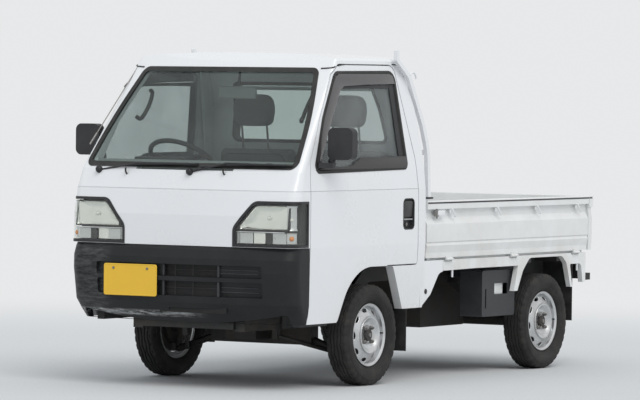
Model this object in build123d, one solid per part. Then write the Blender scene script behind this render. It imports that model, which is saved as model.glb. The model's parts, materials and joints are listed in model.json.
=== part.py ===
from build123d import *
import os
from math import cos, radians, sin, tan

os.makedirs("parts", exist_ok=True)

# A cab-over kei truck with a drop-side bed. Millimetres. +Z up, the nose looks to -Y,
# +X is the vehicle's left. The origin is on the ground under the middle of the truck.

# Overall sizes
BODY_HALF = 692
WHEELBASE = 1900
BED_LENGTH = 1738
FRONT_AXLE_Y = -759
REAR_AXLE_Y = FRONT_AXLE_Y + WHEELBASE
NOSE_Y = -1647.5

# Clearances
SHUT_GAP = 7
SWING_GAP = 5
FACE_GAP = 0.3
BORE_GAP = 0.05

# Wheels: 145R12 tyres on steel rims
TYRE_R = 266
TYRE_HALF = 70
RIM_HALF = 50
RIM_LIP_R = 172
RIM_SEAT_R = 157
HUB_BORE_R = 31
DISC_BACK = 3
DISC_THICK = 6
VENTS = 8
VENT_R = 122
VENT_LONG = 40
VENT_WIDE = 17
NUTS = 4
NUT_CIRCLE_R = 50
AXLE_Z = TYRE_R
TRACK_HALF = BODY_HALF - 89.5

# Kingpin: the steering axis leans in at the top
PIN_FOOT = (TRACK_HALF - 54.5, 160)
PIN_TOP = (TRACK_HALF - 147.5, 640)
PIN_R = 10
KNUCKLE_R = 18
KNUCKLE_FOOT = 20
STRUT_R = 23
ARM_R = 18

# Cab shell
CAB_WALL = 46
JAMB = 30
CREASE_UP = 1028
CREASE_LOW = 741
SILL_Z = 346
BELT_Z = 1130
CAB_BACK = -252
ROOF_TOP = 1748
DRIP_Z = 1690
SHEET = 8
FLOOR_Z = 400
SEAT_BASE_Z = 668

# Horizontal sections of the cab: height, half width, nose at the middle, nose at the
# corner arc, corner radius
CAB_LEVELS = [
    (SILL_Z, BODY_HALF - 20, -1604, -1584, 60),
    (CREASE_LOW, BODY_HALF, -1614, -1594, 60),
    (900, BODY_HALF, -1616, -1592, 60),
    (CREASE_UP, BODY_HALF, -1600, -1562, 60),
    (BELT_Z, BODY_HALF - 8, -1571, -1515, 44),
    (1670, BODY_HALF - 74, -1142, -1098, 24),
    (1790, BODY_HALF - 89, -1045, -1001, 24),
]
ROOF_HALF = BODY_HALF - 74
ROOF_SHOULDER_Z = 1720
ROOF_SHOULDER_R = 42

# Side view of the cab: y, z, corner radius
CAB_SIDE = [
    (-1750, 200, 0),
    (-1750, 1330, 0),
    (-1040, 1745, 90),
    (-560, ROOF_TOP + 2, 900),
    (-398, 1738, 34),
    (-385, 1644, 60),
    (-304, 1460, 200),
    (-262, 1192, 200),
    (CAB_BACK, 900, 0),
    (CAB_BACK, 200, 0),
]

# Windows: x or y, z, corner radius; those of the two screens are the left half
SCREEN_SIDE = [(BODY_HALF - 36, 1141, 40), (BODY_HALF - 74, 1404, 2000), (BODY_HALF - 152, 1668, 50)]
REAR_SCREEN_SIDE = [(BODY_HALF - 192, 1262, 40), (BODY_HALF - 252, 1590, 40)]
DOOR_WINDOW = [(-1366, 1137, 20), (-1243, 1400, 0), (-1086, 1634, 50), (-500, 1640, 50), (-446, 1151, 20)]
SEAL_WIDTH = 26
REAR_SEAL_WIDTH = 18
SEAL_PROUD = 4
SEAL_DEPTH = 14
GLASS_THICK = 5
SCREEN_SUNK = 3
DOOR_GLASS_SUNK = 10
REAR_GLASS_SUNK = 20

# Front wheel arch, seen from the side: y, z, corner radius
ARCH = [
    (FRONT_AXLE_Y - 426, 100, 0),
    (FRONT_AXLE_Y - 426, SILL_Z - 2, 0),
    (FRONT_AXLE_Y - 366, SILL_Z - 2, 30),
    (FRONT_AXLE_Y - 226, 628, 300),
    (FRONT_AXLE_Y + 169, 628, 40),
    (FRONT_AXLE_Y + 297, 394, 0),
    (FRONT_AXLE_Y + 297, 100, 0),
]
PANEL_FOOT_Z = 394

# Door outline from the side, arch apart: y, z, corner radius
DOOR_FRONT_Y = -1424
DOOR_REAR_Y = -333
DOOR = [
    (DOOR_FRONT_Y, SILL_Z - 60, 0),
    (DOOR_FRONT_Y, 1084, 0),
    (DOOR_FRONT_Y + 15, 1180, 0),
    (DOOR_FRONT_Y + 146, 1400, 0),
    (DOOR_FRONT_Y + 310, 1632, 40),
    (DOOR_FRONT_Y + 374, 1682, 40),
    (-490, 1682, 60),
    (-350, 1192, 200),
    (DOOR_REAR_Y, 1000, 0),
    (DOOR_REAR_Y, 632, 12),
    (-640, 632, 0),
    (-640, SILL_Z - 60, 0),
]
# Inner side of the door at each height: x, z. The window frame is thinner than the lower body
DOOR_INNER = BODY_HALF - CAB_WALL
DOOR_INSIDE = [
    (DOOR_INNER - 6, 100, 0),
    (DOOR_INNER, 741, 0),
    (DOOR_INNER, 1105, 0),
    (DOOR_INNER + 6, 1150, 0),
    (DOOR_INNER - 56, 1700, 0),
    (BODY_HALF + 208, 1700, 0),
    (BODY_HALF + 208, 100, 0),
]
# Handle recess: middle y, middle z, length, height, depth
HANDLE = (-431, 898, 112, 160, 20)

# Lamps: opening seen from the front: x, z, corner radius; its rear edge is on the body side
LAMP = [
    (BODY_HALF - 359, CREASE_LOW + 2, 0),
    (BODY_HALF - 359, 842, 60),
    (BODY_HALF - 242, 980, 60),
    (BODY_HALF + 108, 980, 0),
    (BODY_HALF + 108, CREASE_LOW + 2, 0),
]
LAMP_REAR = -1447
LAMP_TRIM = 14

# Bumper sections: height, half width, nose at the middle, nose at the corner arc, radius
BUMPER_TOP = CREASE_LOW - 3
BUMPER_LOW = 345
BUMPER_WALL = 30
BUMPER_REAR = DOOR_FRONT_Y - SHUT_GAP
BUMPER_LEVELS = [
    (BUMPER_LOW, BODY_HALF - 20, -1565, -1505, 80),
    (392, BODY_HALF - 8, -1602, -1540, 80),
    (446, BODY_HALF - 2, -1630, -1581, 80),
    (610, BODY_HALF, -1645, -1606, 80),
    (678, BODY_HALF, -1645, -1604, 80),
    (723, BODY_HALF - 2, -1629, -1585, 76),
    (BUMPER_TOP, BODY_HALF - 3, -1619, -1572, 72),
]
# Bumper slots: low z, high z; the air inlet behind them is narrower
SLOTS = [(481, 559), (581, 645)]
SLOT_X = 7
SLOT_HALF = BODY_HALF - 183
SLOT_DEPTH = 18
INLET_X = 93
INLET_WIDE = 337
# Plate: middle x, middle z, width, height, thickness
PLATE = (-270, 555.5, 330, 165, 2)

# Steering wheel: middle, lean of its plane, size
WHEEL_HUB = (-300, -1115, 1172)
WHEEL_LEAN = 35
WHEEL_R = 180
WHEEL_RIM_R = 13
COLUMN_R = 30
COLUMN_LONG = 400

# Seats
SEAT_X = 290
SEAT_WIDE = 470
CUSHION_TOP = 815
HEAD_Z = 1436

# Cargo bed, from the front wall to the rear edge of the deck
BED_FRONT = -146
BED_REAR = BED_FRONT + BED_LENGTH
BED_FLOOR = 655
DECK_THICK = 30
RIB_PITCH = 62
RIB_DEPTH = 9
CROSS_PITCH = 352
CROSS_HALF = 25
CROSS_LOW = BED_FLOOR - 57
SILL_DEEP = 30
WALL_THICK = 22
WALL_TOP = 965

# Skirt under the bed
SKIRT_X = BODY_HALF - 12
SKIRT_THICK = 28
SKIRT_FRONT = -38
SKIRT_TOP = BED_FLOOR - 13
SKIRT_LOW = 588
DECK_HALF = SKIRT_X - SKIRT_THICK

# Drop sides, standing shut
GATE_FRONT = -236
GATE_END = BED_REAR + 51
GATE_TOP = BED_FLOOR + 308
GATE_LOW = BED_FLOOR + 1
GATE_AXIS_X = BODY_HALF - 2
GATE_AXIS_Y = BED_REAR + 49
GATE_AXIS_Z = BED_FLOOR - 9
GATE_PIN_R = 6.5
GATE_HINGE_HALF = 35
GATE_RAIL_DEPTH = 34
GATE_RAIL_PROUD = 5

# Section of a drop side: distance out from the body side, height over its low edge, radius
GATE_SECTION = [
    (0, 262, 3),
    (-17, 260, 3),
    (-17, 216, 8),
    (0, 181, 8),
    (0, 87, 0),
    (-5, 80, 0),
    (0, 66, 0),
    (-8, 28, 0),
    (-8, 0, 0),
    (-28, 0, 0),
    (-28, 274, 0),
    (-GATE_RAIL_DEPTH, 274, 0),
    (-GATE_RAIL_DEPTH, 307, 5),
    (GATE_RAIL_PROUD, 307, 5),
    (GATE_RAIL_PROUD, 262, 0),
]

# Guard frame behind the cab: y, z of its rear edge, bend radius
GUARD = [(-114, 700, 0), (-145, 1238, 300), (-200, 1373, 300), (-352, 1630, 60), (-478, 1716, 20)]
GUARD_DEEP = 28
GUARD_WIDE = 22
GUARD_PEG_Z = 1766
# Cross bars of the guard: y, z
GUARD_BARS = [(-161, 1222), (-326, 1560)]
GUARD_BAR_R = 14

# Chassis
RAIL_X = 315
RAIL_WIDE = 60
RAIL_LOW = 520
HOUSING_X = BODY_HALF - 342
HOUSING_THICK = 6
SPRING_THICK = 14
SPRING_WIDE = 50
BEAM_R = 34
DRUM_R = 92
BALL_R = 14


def outline(corners):
    """Closed face; each corner (u, v, radius) is rounded where its radius is above 0."""
    count = len(corners)
    arcs = []
    for i in range(count):
        u, v, radius = corners[i]
        here = Vector(u, v)
        back = (Vector(*corners[i - 1][:2]) - here).normalized()
        ahead = (Vector(*corners[(i + 1) % count][:2]) - here).normalized()
        if radius <= 0:
            arcs.append((here, None, here))
            continue
        half = radians(back.get_angle(ahead)) / 2
        setback = radius / tan(half)
        middle = here + (back + ahead).normalized() * (radius / sin(half) - radius)
        arcs.append((here + back * setback, middle, here + ahead * setback))
    edges = []
    for i in range(count):
        start, middle, end = arcs[i]
        if middle is not None:
            edges.append(ThreePointArc(start, middle, end))
        following = arcs[(i + 1) % count][0]
        if (following - end).length > 0.001:
            edges.append(Line(end, following))
    return make_face(edges)


def grown(corners, amount):
    """The same corner table with every side moved outwards by the amount, inwards if negative."""
    count = len(corners)
    area = sum(
        corners[i - 1][0] * corners[i][1] - corners[i][0] * corners[i - 1][1] for i in range(count)
    )
    turn = 1 if area > 0 else -1
    moved = []
    for i in range(count):
        u, v, radius = corners[i]
        into = (Vector(u, v) - Vector(*corners[i - 1][:2])).normalized()
        out = (Vector(*corners[(i + 1) % count][:2]) - Vector(u, v)).normalized()
        cross = into.X * out.Y - into.Y * out.X
        share = amount * turn / (1 + into.X * out.X + into.Y * out.Y)
        shift = Vector(into.Y + out.Y, -into.X - out.X) * share
        change = amount if cross * turn > 0 else -amount
        rounder = max(radius + change, 0) if radius > 0 else 0
        moved.append((u + shift.X, v + shift.Y, rounder))
    return moved


def symmetric(side):
    """A closed corner table from its half with positive u, listed from the bottom up."""
    return [(-u, v, radius) for u, v, radius in side] + side[::-1]


def along_x(face, x0, x1):
    """Extrudes a face drawn in (y, z) from x0 to x1."""
    return extrude(Plane.YZ.offset(x0) * face, x1 - x0, dir=(1, 0, 0))


def along_y(face, y0, y1):
    """Extrudes a face drawn in (x, z) from y0 to y1."""
    plane = Plane(origin=(0, y0, 0), x_dir=(1, 0, 0), z_dir=(0, -1, 0))
    return extrude(plane * face, y1 - y0, dir=(0, 1, 0))


def along_z(face, z0, z1):
    """Extrudes a face drawn in (x, y) from z0 to z1."""
    return extrude(Plane.XY.offset(z0) * face, z1 - z0, dir=(0, 0, 1))


def block(x0, x1, y0, y1, z0, z1):
    """Block between two corners."""
    size = (x1 - x0, y1 - y0, z1 - z0)
    return Pos((x0 + x1) / 2, (y0 + y1) / 2, (z0 + z1) / 2) * Box(*size)


def rod(start, end, radius):
    """Round bar between two points."""
    a = Vector(*start)
    b = Vector(*end)
    plane = Plane(origin=a, z_dir=(b - a).normalized())
    return extrude(plane * Circle(radius), (b - a).length)


def mirrored(solid):
    """The same piece on the other side of the truck."""
    return mirror(solid, about=Plane.YZ)


def both(solid):
    """A piece and its mirror image, as separate solids of one node."""
    return Compound(children=[*solid.solids(), *mirrored(solid).solids()])


def cab_section(half, nose, corner, radius):
    """Plan outline of the cab at one height: two corner arcs joined by a bowed nose."""
    side = corner + radius
    inner = half - radius
    knee = radius * cos(radians(45))
    back = CAB_BACK + 20
    return make_face([
        Line((half, back), (half, side)),
        ThreePointArc((half, side), (inner + knee, side - knee), (inner, corner)),
        ThreePointArc((inner, corner), (0, nose), (-inner, corner)),
        ThreePointArc((-inner, corner), (-inner - knee, side - knee), (-half, side)),
        Line((-half, side), (-half, back)),
        Line((-half, back), (half, back)),
    ])


def cab_volume(inset):
    """The cab's outer form, moved inwards by the inset."""
    sections = []
    for z, half, nose, corner, radius in CAB_LEVELS:
        face = cab_section(half - inset, nose + inset, corner + inset, max(radius - inset, 12))
        sections.append(Pos(0, 0, z) * face)
    body = loft(sections, ruled=True)
    body = body & along_x(outline(grown(CAB_SIDE, -inset)), -BODY_HALF - 108, BODY_HALF + 108)
    top = ROOF_SHOULDER_Z - inset
    wide = ROOF_HALF - inset
    reach = BODY_HALF + 68
    crown = make_face([
        Line((-reach, 100), (reach, 100)),
        Line((reach, 100), (reach, 1450)),
        Line((reach, 1450), (wide + 10, 1600)),
        Line((wide + 10, 1600), (wide, top)),
        ThreePointArc((wide, top), (0, ROOF_TOP - inset), (-wide, top)),
        Line((-wide, top), (-wide - 10, 1600)),
        Line((-wide - 10, 1600), (-reach, 1450)),
        Line((-reach, 1450), (-reach, 100)),
    ])
    shoulders = crown.vertices().group_by(Axis.Y)[-1]
    crown = fillet(shoulders, max(ROOF_SHOULDER_R - inset, 10))
    return body & along_y(crown, -1800, 0)


# Cab shell: cutters first, then the panels that they leave
cab_outer = cab_volume(0)
cab_inner = cab_volume(CAB_WALL)
FAR = BODY_HALF + 158

screen = symmetric(SCREEN_SIDE)
screen_cut = along_y(outline(screen), -1720, -1000)
screen_hole = along_y(outline(grown(screen, -SEAL_WIDTH)), -1720, -1000)
seal_bed = screen_cut - cab_volume(SEAL_DEPTH)
rear_screen = symmetric(REAR_SCREEN_SIDE)
rear_hole = along_y(outline(rear_screen), -460, -180)

arch_hole = along_x(outline(ARCH), -FAR, FAR)
door_side = along_y(outline(DOOR_INSIDE), -1700, 0)
rebate = along_x(outline(grown(DOOR, SHUT_GAP)), BODY_HALF - 242, FAR)
rebate = rebate & door_side.moved(Location((-SWING_GAP, 0, 0)))
doorway = along_x(outline(grown(DOOR, -JAMB)), BODY_HALF - 442, FAR)

roof_zone = along_x(outline([
    (-1500, 1610, 0), (-1115, 1664, 20), (-930, DRIP_Z, 20), (-100, DRIP_Z, 0), (-100, 1900, 0),
    (-1500, 1900, 0),
]), -FAR, FAR)
nose_edge = DOOR_FRONT_Y - SHUT_GAP
back_zone = along_y(outline(symmetric([
    (BODY_HALF - 64, SEAT_BASE_Z, 0), (BODY_HALF - 64, 1060, 0), (BODY_HALF - 132, DRIP_Z + 60, 0),
])), -460, -200)

roof = (cab_outer & roof_zone) - cab_inner - seal_bed - screen_hole - rebate - mirrored(rebate)
rear_wall = (cab_outer & (back_zone - roof_zone)) - cab_inner - rear_hole

side_zone = along_x(outline([
    (nose_edge, BELT_Z, 0), (-1700, BELT_Z, 0), (-1700, 1800, 0), (-100, 1800, 0), (-100, PANEL_FOOT_Z, 0),
    (FRONT_AXLE_Y + 297, PANEL_FOOT_Z, 0), (-580, 626, 40), (-700, 640, 0), (nose_edge, 640, 0),
]), BODY_HALF - 392, FAR)
under_floor = block(BODY_HALF - 442, BODY_HALF - 92, -1700, 0, 300, 900)
side_zone = side_zone - roof_zone - doorway - rebate - back_zone - under_floor
side_half = (cab_outer & side_zone) - cab_inner - seal_bed - screen_hole
# The panel behind the front arch runs back under the bed as far as the skirt
tail_end = SKIRT_FRONT - 3
tail_panel = along_x(outline([
    (CAB_BACK - 30, PANEL_FOOT_Z + 2, 0), (-273, PANEL_FOOT_Z + 2, 20), (-172, 461, 40), (-82, 572, 60),
    (tail_end, 580, 0), (tail_end, SKIRT_TOP, 0), (CAB_BACK - 30, SKIRT_TOP, 0),
]), DECK_HALF, SKIRT_X)
side_half = side_half + (tail_panel - cab_outer)

front_panel = (cab_outer & block(-FAR, FAR, -1800, nose_edge, CREASE_LOW, BELT_Z)) - cab_inner
front_panel = front_panel - seal_bed - screen_hole

# Lamps: a case with a rim round the opening, and a clear lens
lamp_hole = along_y(outline(LAMP), -1700, LAMP_REAR)
lamp_core = along_y(outline(grown(LAMP, -LAMP_TRIM)), -1700, LAMP_REAR - LAMP_TRIM)
front_panel = front_panel - lamp_hole - mirrored(lamp_hole)
lamp_ring = (cab_volume(-3) - cab_inner) & lamp_hole
lamp_case = lamp_ring - (lamp_core - cab_volume(CAB_WALL - 6))
lamp_lens = (cab_outer - cab_volume(GLASS_THICK)) & lamp_core

# Glass and seals
screen_seal = (cab_volume(-SEAL_PROUD) - cab_volume(SEAL_DEPTH)) & (screen_cut - screen_hole)
windscreen = (cab_volume(SCREEN_SUNK) - cab_volume(SCREEN_SUNK + GLASS_THICK)) & screen_hole
rear_core = along_y(outline(grown(rear_screen, -REAR_SEAL_WIDTH)), -460, -180)
rear_skin = cab_volume(-SEAL_PROUD) - cab_volume(CAB_WALL + SEAL_PROUD)
rear_seal = rear_skin & (rear_hole - rear_core)
rear_glass = (cab_volume(REAR_GLASS_SUNK) - cab_volume(REAR_GLASS_SUNK + GLASS_THICK)) & rear_core

# Cab floor: one stepped sheet over the wheels, side sills, inner walls of the wheel housings
floor_under = FLOOR_Z - SHEET
seat_under = SEAT_BASE_Z - SHEET
floor_half = DOOR_INNER - 6 - SWING_GAP
sheet_outer = outline([
    (-1600, 790, 0), (-1560, FLOOR_Z + 240, 0), (-1532, FLOOR_Z + 30, 60), (-1468, floor_under, 60),
    (-1142, floor_under, 40), (-977, seat_under, 232), (CAB_BACK, seat_under, 0), (CAB_BACK, 790, 0),
    (-1500, 790, 0),
])
sheet_inner = outline([
    (-1540, 790, 0), (-1520, FLOOR_Z + 34, 56), (-1464, FLOOR_Z, 52), (-1146, FLOOR_Z, 48),
    (-981, SEAT_BASE_Z, 240),
    (CAB_BACK - CAB_WALL, SEAT_BASE_Z, 0), (CAB_BACK - CAB_WALL, 900, 0), (-1300, 900, 0), (-1500, 900, 0),
])
floor_sheet = along_x(sheet_outer - sheet_inner, -floor_half, floor_half) & cab_inner
housing = along_x(outline([
    (FRONT_AXLE_Y - 391, 300, 20), (FRONT_AXLE_Y - 391, floor_under, 0), (-977, seat_under, 232),
    (FRONT_AXLE_Y + 279, seat_under, 0), (FRONT_AXLE_Y + 329, 300, 20),
]), HOUSING_X, HOUSING_X + HOUSING_THICK)
sill = block(floor_half - 50, floor_half - 8, -1420, FRONT_AXLE_Y - 391, 330, floor_under)
cab_floor = floor_sheet + housing + mirrored(housing) + sill + mirrored(sill)

# Doors: window and handle recess cut, the lower rear corner open to the wheel arch
window_hole = along_x(outline(DOOR_WINDOW), BODY_HALF - 242, FAR)
door = cab_outer & along_x(outline(DOOR), BODY_HALF - 242, FAR) & door_side
door = door - arch_hole - window_hole
handle_y, handle_z, handle_long, handle_tall, handle_deep = HANDLE
handle_face = Pos(handle_y, handle_z) * RectangleRounded(handle_long, handle_tall, 24)
door = door - along_x(handle_face, BODY_HALF - handle_deep, FAR)
belt, eaves = CAB_LEVELS[4], CAB_LEVELS[5]


def side_pane(sunk, thick):
    """Flat leaning sheet along the cab's side above the belt, sunk below its surface."""
    low = belt[1] - sunk
    high = eaves[1] - sunk
    sheet = outline([
        (low, belt[0], 0), (high, eaves[0], 0), (high - thick, eaves[0], 0), (low - thick, belt[0], 0),
    ])
    return along_y(sheet, -1450, -400)


door_glass = side_pane(DOOR_GLASS_SUNK, GLASS_THICK) & window_hole

# Door mirrors on an arm from a small sail in the corner of the window
mirror_head = along_y(Pos(BODY_HALF + 94, 1276) * RectangleRounded(148, 166, 34), -1300, -1248)
mirror_arm = along_z(outline([
    (BODY_HALF - 16, -1350, 0), (BODY_HALF, -1356, 10), (BODY_HALF + 52, -1302, 10),
    (BODY_HALF + 52, -1262, 10), (BODY_HALF + 12, -1270, 10), (BODY_HALF - 16, -1306, 0),
]), 1150, 1178)
mirror_post = along_z(Pos(BODY_HALF + 34, -1280) * Circle(11), 1170, 1230)
sail_face = outline([(-1400, 1100, 0), (-1290, 1100, 0), (-1290, 1190, 20), (-1400, 1300, 0)])
sail = side_pane(1, DOOR_GLASS_SUNK - 1) & window_hole & along_x(sail_face, 0, FAR)
door_mirror = (mirror_head + mirror_post + mirror_arm) - door + sail


def bumper_volume(inset):
    """The bumper's outer form, moved inwards by the inset."""
    sections = []
    for z, half, nose, corner, radius in BUMPER_LEVELS:
        face = cab_section(half - inset, nose + inset, corner + inset, radius - inset)
        sections.append(Pos(0, 0, z) * face)
    return loft(sections, ruled=True)


def slot_cut(x, z0, z1, wide, radius):
    """Cutter for a level slot in the bumper's face."""
    return along_y(Pos(x, (z0 + z1) / 2) * RectangleRounded(wide, z1 - z0, radius), -1700, -1400)


# Bumper: a bowed shell, two slots over the air inlet, a small one in the lip
bumper_outer = bumper_volume(0)
bumper_core = bumper_volume(BUMPER_WALL)
bumper = bumper_outer - bumper_core - cab_volume(CAB_WALL - 2)
bumper = bumper & block(-FAR, FAR, -1800, BUMPER_REAR, 0, BUMPER_TOP)
recess = bumper_outer - bumper_volume(SLOT_DEPTH)
for low, high in SLOTS:
    bumper = bumper - (recess & slot_cut(SLOT_X, low, high, 2 * SLOT_HALF, 10))
    bumper = bumper - slot_cut(INLET_X, low + 3, high - 3, INLET_WIDE, 4)
bumper = bumper - slot_cut(107, 397, 419, 316, 6)
plate_x, plate_z, plate_wide, plate_tall, plate_thick = PLATE
plate_face = Pos(plate_x, plate_z) * RectangleRounded(plate_wide, plate_tall, 12)
plate = along_y(plate_face, NOSE_Y, NOSE_Y + plate_thick)

# Wipers: pivot, elbow and tip of each
wiper_set = []
for pivot, elbow, tip in (
    ((-545, -1532, 1121), (-299, -1566, 1159), (88, -1572, 1162)),
    ((46, -1576, 1120), (264, -1568, 1169), (600, -1524, 1164)),
):
    arm = rod(pivot, elbow, 5) + rod(elbow, tip, 5) + Pos(*elbow) * Sphere(5)
    boss = rod((pivot[0], pivot[1] + 26, pivot[2] - 4), (pivot[0], pivot[1] - 6, pivot[2]), 11)
    wiper_set.append((arm + boss) - cab_outer)

# Dashboard with the steering column, and the steering wheel on its end
dash = along_x(outline([
    (-1560, 1128, 0), (-1420, 1180, 40), (-1330, 1160, 40), (-1300, 1000, 40), (-1340, 880, 30),
    (-1500, 860, 0), (-1560, 860, 0),
]), SWING_GAP - DOOR_INNER, DOOR_INNER - SWING_GAP)
dash = dash & cab_inner
hub = Vector(*WHEEL_HUB)
column = Vector(0, -sin(radians(WHEEL_LEAN)), -cos(radians(WHEEL_LEAN)))
dash = dash + rod(tuple(hub + column * (26 + FACE_GAP)), tuple(hub + column * COLUMN_LONG), COLUMN_R)
wheel_plane = Plane(origin=hub, x_dir=(1, 0, 0), z_dir=-column)
grip = revolve(Plane.XZ * (Pos(WHEEL_R, 0) * RegularPolygon(WHEEL_RIM_R, 8)), Axis.Z)
hand_wheel = grip + Pos(0, 0, -14) * Cylinder(48, 24)
for angle in (200, 340):
    spoke = Rot(0, 0, angle) * (Pos(WHEEL_R / 2 + 10, 0, -8) * Box(WHEEL_R - 30, 34, 10))
    hand_wheel = hand_wheel + spoke
hand_wheel = wheel_plane * hand_wheel

# Seats: cushion, back and head rest on two posts
seat_left = SEAT_X - SEAT_WIDE / 2
seat_right = SEAT_X + SEAT_WIDE / 2
cushion = along_x(outline([
    (-905, 690, 30), (-905, CUSHION_TOP, 40), (-480, CUSHION_TOP - 14, 20), (-480, SEAT_BASE_Z, 10),
    (-890, SEAT_BASE_Z, 10),
]), seat_left, seat_right)
back_rest = along_x(outline([
    (-478, 760, 30), (-455, 830, 0), (-418, 1236, 30), (-330, 1236, 30), (-320, 1100, 60),
    (-350, SEAT_BASE_Z, 20), (-478, SEAT_BASE_Z, 0),
]), seat_left, seat_right)
head_rest = along_y(Pos(SEAT_X, HEAD_Z) * RectangleRounded(264, 174, 50), -462, -392)
for side in (-92, 92):
    head_rest = head_rest + rod((SEAT_X + side, -400, 1230), (SEAT_X + side, -428, HEAD_Z - 76), 6)
back_rest = back_rest + head_rest

# Bed: ribbed deck on cross members
deck_face = Pos(0, BED_FLOOR - DECK_THICK / 2) * Rectangle(2 * DECK_HALF, DECK_THICK)
ribs = int((DECK_HALF - 40) / RIB_PITCH)
for i in range(-ribs, ribs + 1):
    deck_face = deck_face - Pos(i * RIB_PITCH, BED_FLOOR) * Trapezoid(30, 2 * RIB_DEPTH, 70)
deck = along_y(deck_face, BED_FRONT, BED_REAR)
for i in range(int((BED_LENGTH - 120) / CROSS_PITCH) + 1):
    y = BED_FRONT + 60 + i * CROSS_PITCH
    front, rear = y - CROSS_HALF, y + CROSS_HALF
    deck = deck + block(-DECK_HALF, DECK_HALF, front, rear, CROSS_LOW, BED_FLOOR - DECK_THICK)
deck = deck + block(-DECK_HALF, DECK_HALF, BED_REAR - SILL_DEEP, BED_REAR, 560, SKIRT_TOP)
lamp_board = block(380, 650, BED_REAR - 6, BED_REAR + 4, 490, 600)
deck = deck + lamp_board + mirrored(lamp_board)

# Front wall of the bed with the guard frame that it carries
front_wall = block(-DECK_HALF, DECK_HALF, BED_FRONT - WALL_THICK, BED_FRONT, CROSS_LOW, WALL_TOP)
guard_rear = GUARD[::-1]
guard_front = [(y - GUARD_DEEP, z - 10, radius) for y, z, radius in GUARD]
guard_front[0] = (GUARD[0][0] - GUARD_DEEP, GUARD[0][1], 0)
peg_y = GUARD[-1][0]
guard_peg = [(peg_y - 24, GUARD_PEG_Z, 4), (peg_y - 8, GUARD_PEG_Z, 4)]
guard_leg = along_x(outline(guard_front + guard_peg + guard_rear), DECK_HALF - GUARD_WIDE, DECK_HALF)
guard = front_wall + guard_leg + mirrored(guard_leg)
for y, z in GUARD_BARS:
    guard = guard + rod((10 - DECK_HALF, y, z), (DECK_HALF - 10, y, z), GUARD_BAR_R)

# Skirt under the drop side, with the rear arch and the legs beside it
arch_front = REAR_AXLE_Y - 211
arch_rear = REAR_AXLE_Y + 169
skirt = along_x(outline([
    (SKIRT_FRONT, SKIRT_TOP, 0), (SKIRT_FRONT, 584, 0), (300, SKIRT_LOW, 0), (arch_front - 130, SKIRT_LOW, 0),
    (arch_front - 178, 448, 0), (arch_front - 138, 448, 0), (arch_front - 75, 560, 100), (arch_front, 628, 60),
    (arch_rear, 628, 60), (arch_rear + 52, 588, 40), (arch_rear + 104, 450, 0), (arch_rear + 124, 450, 0),
    (arch_rear + 94, 580, 10), (BED_REAR - 56, 580, 30), (BED_REAR - 36, 473, 0), (BED_REAR - 2, 473, 0),
    (BED_REAR - 2, SKIRT_TOP, 0),
]), DECK_HALF, SKIRT_X)

# Drop sides with their hinge barrels; the skirt is cut away round them
gate_face = outline([(BODY_HALF + out, GATE_LOW + up, r) for out, up, r in GATE_SECTION])
side_gate = along_y(gate_face, GATE_FRONT, BED_REAR)
first_hinge = GATE_FRONT + 249
last_hinge = BED_REAR - 131
for y in (first_hinge, (first_hinge + last_hinge) / 2, last_hinge):
    front = y - GATE_HINGE_HALF
    rear = y + GATE_HINGE_HALF
    barrel = rod((GATE_AXIS_X, front, GATE_AXIS_Z), (GATE_AXIS_X, rear, GATE_AXIS_Z), GATE_PIN_R)
    side_gate = side_gate + barrel
    side_gate = side_gate + block(GATE_AXIS_X - 6, GATE_AXIS_X, front, rear, GATE_AXIS_Z, GATE_LOW + 10)
    skirt = skirt - block(GATE_AXIS_X - 22, FAR, front - 9, rear + 9, GATE_AXIS_Z - 14, GATE_LOW + 4)

# Tailgate: out from the deck's rear edge, height over its low edge, radius
tail_face = outline([
    (BED_REAR + out, GATE_LOW + up, radius) for out, up, radius in (
        (44, 0, 0), (44, 28, 0), (51, 66, 0), (46, 80, 0), (51, 87, 0), (51, 181, 8), (38, 216, 8),
        (38, 252, 3), (8, 252, 0), (8, 0, 0),
    )
])
tailgate = along_x(tail_face, -GATE_AXIS_X, GATE_AXIS_X)
tail_rail = outline([
    (BED_REAR + 6, GATE_LOW + 244, 0), (BED_REAR + 6, GATE_TOP, 5), (GATE_END, GATE_TOP, 5),
    (GATE_END, GATE_LOW + 244, 0),
])
tail_half = BODY_HALF + GATE_RAIL_PROUD
tailgate = tailgate + along_x(tail_rail, -tail_half, tail_half)
for x in (-520, 0, 520):
    left = x - GATE_HINGE_HALF
    right = x + GATE_HINGE_HALF
    tailgate = tailgate + rod((left, GATE_AXIS_Y, GATE_AXIS_Z), (right, GATE_AXIS_Y, GATE_AXIS_Z), GATE_PIN_R)
    tailgate = tailgate + block(left, right, GATE_AXIS_Y - 6, GATE_AXIS_Y, GATE_AXIS_Z, GATE_LOW + 10)

# Rear lamps on their boards, rubber buffers on the rear posts
tail_lamp = block(400, 640, BED_REAR + 4, BED_REAR + 26, 500, 585)
buffer = block(DECK_HALF, SKIRT_X, BED_REAR - 2, GATE_END + 4.5, 484, 523)

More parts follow.
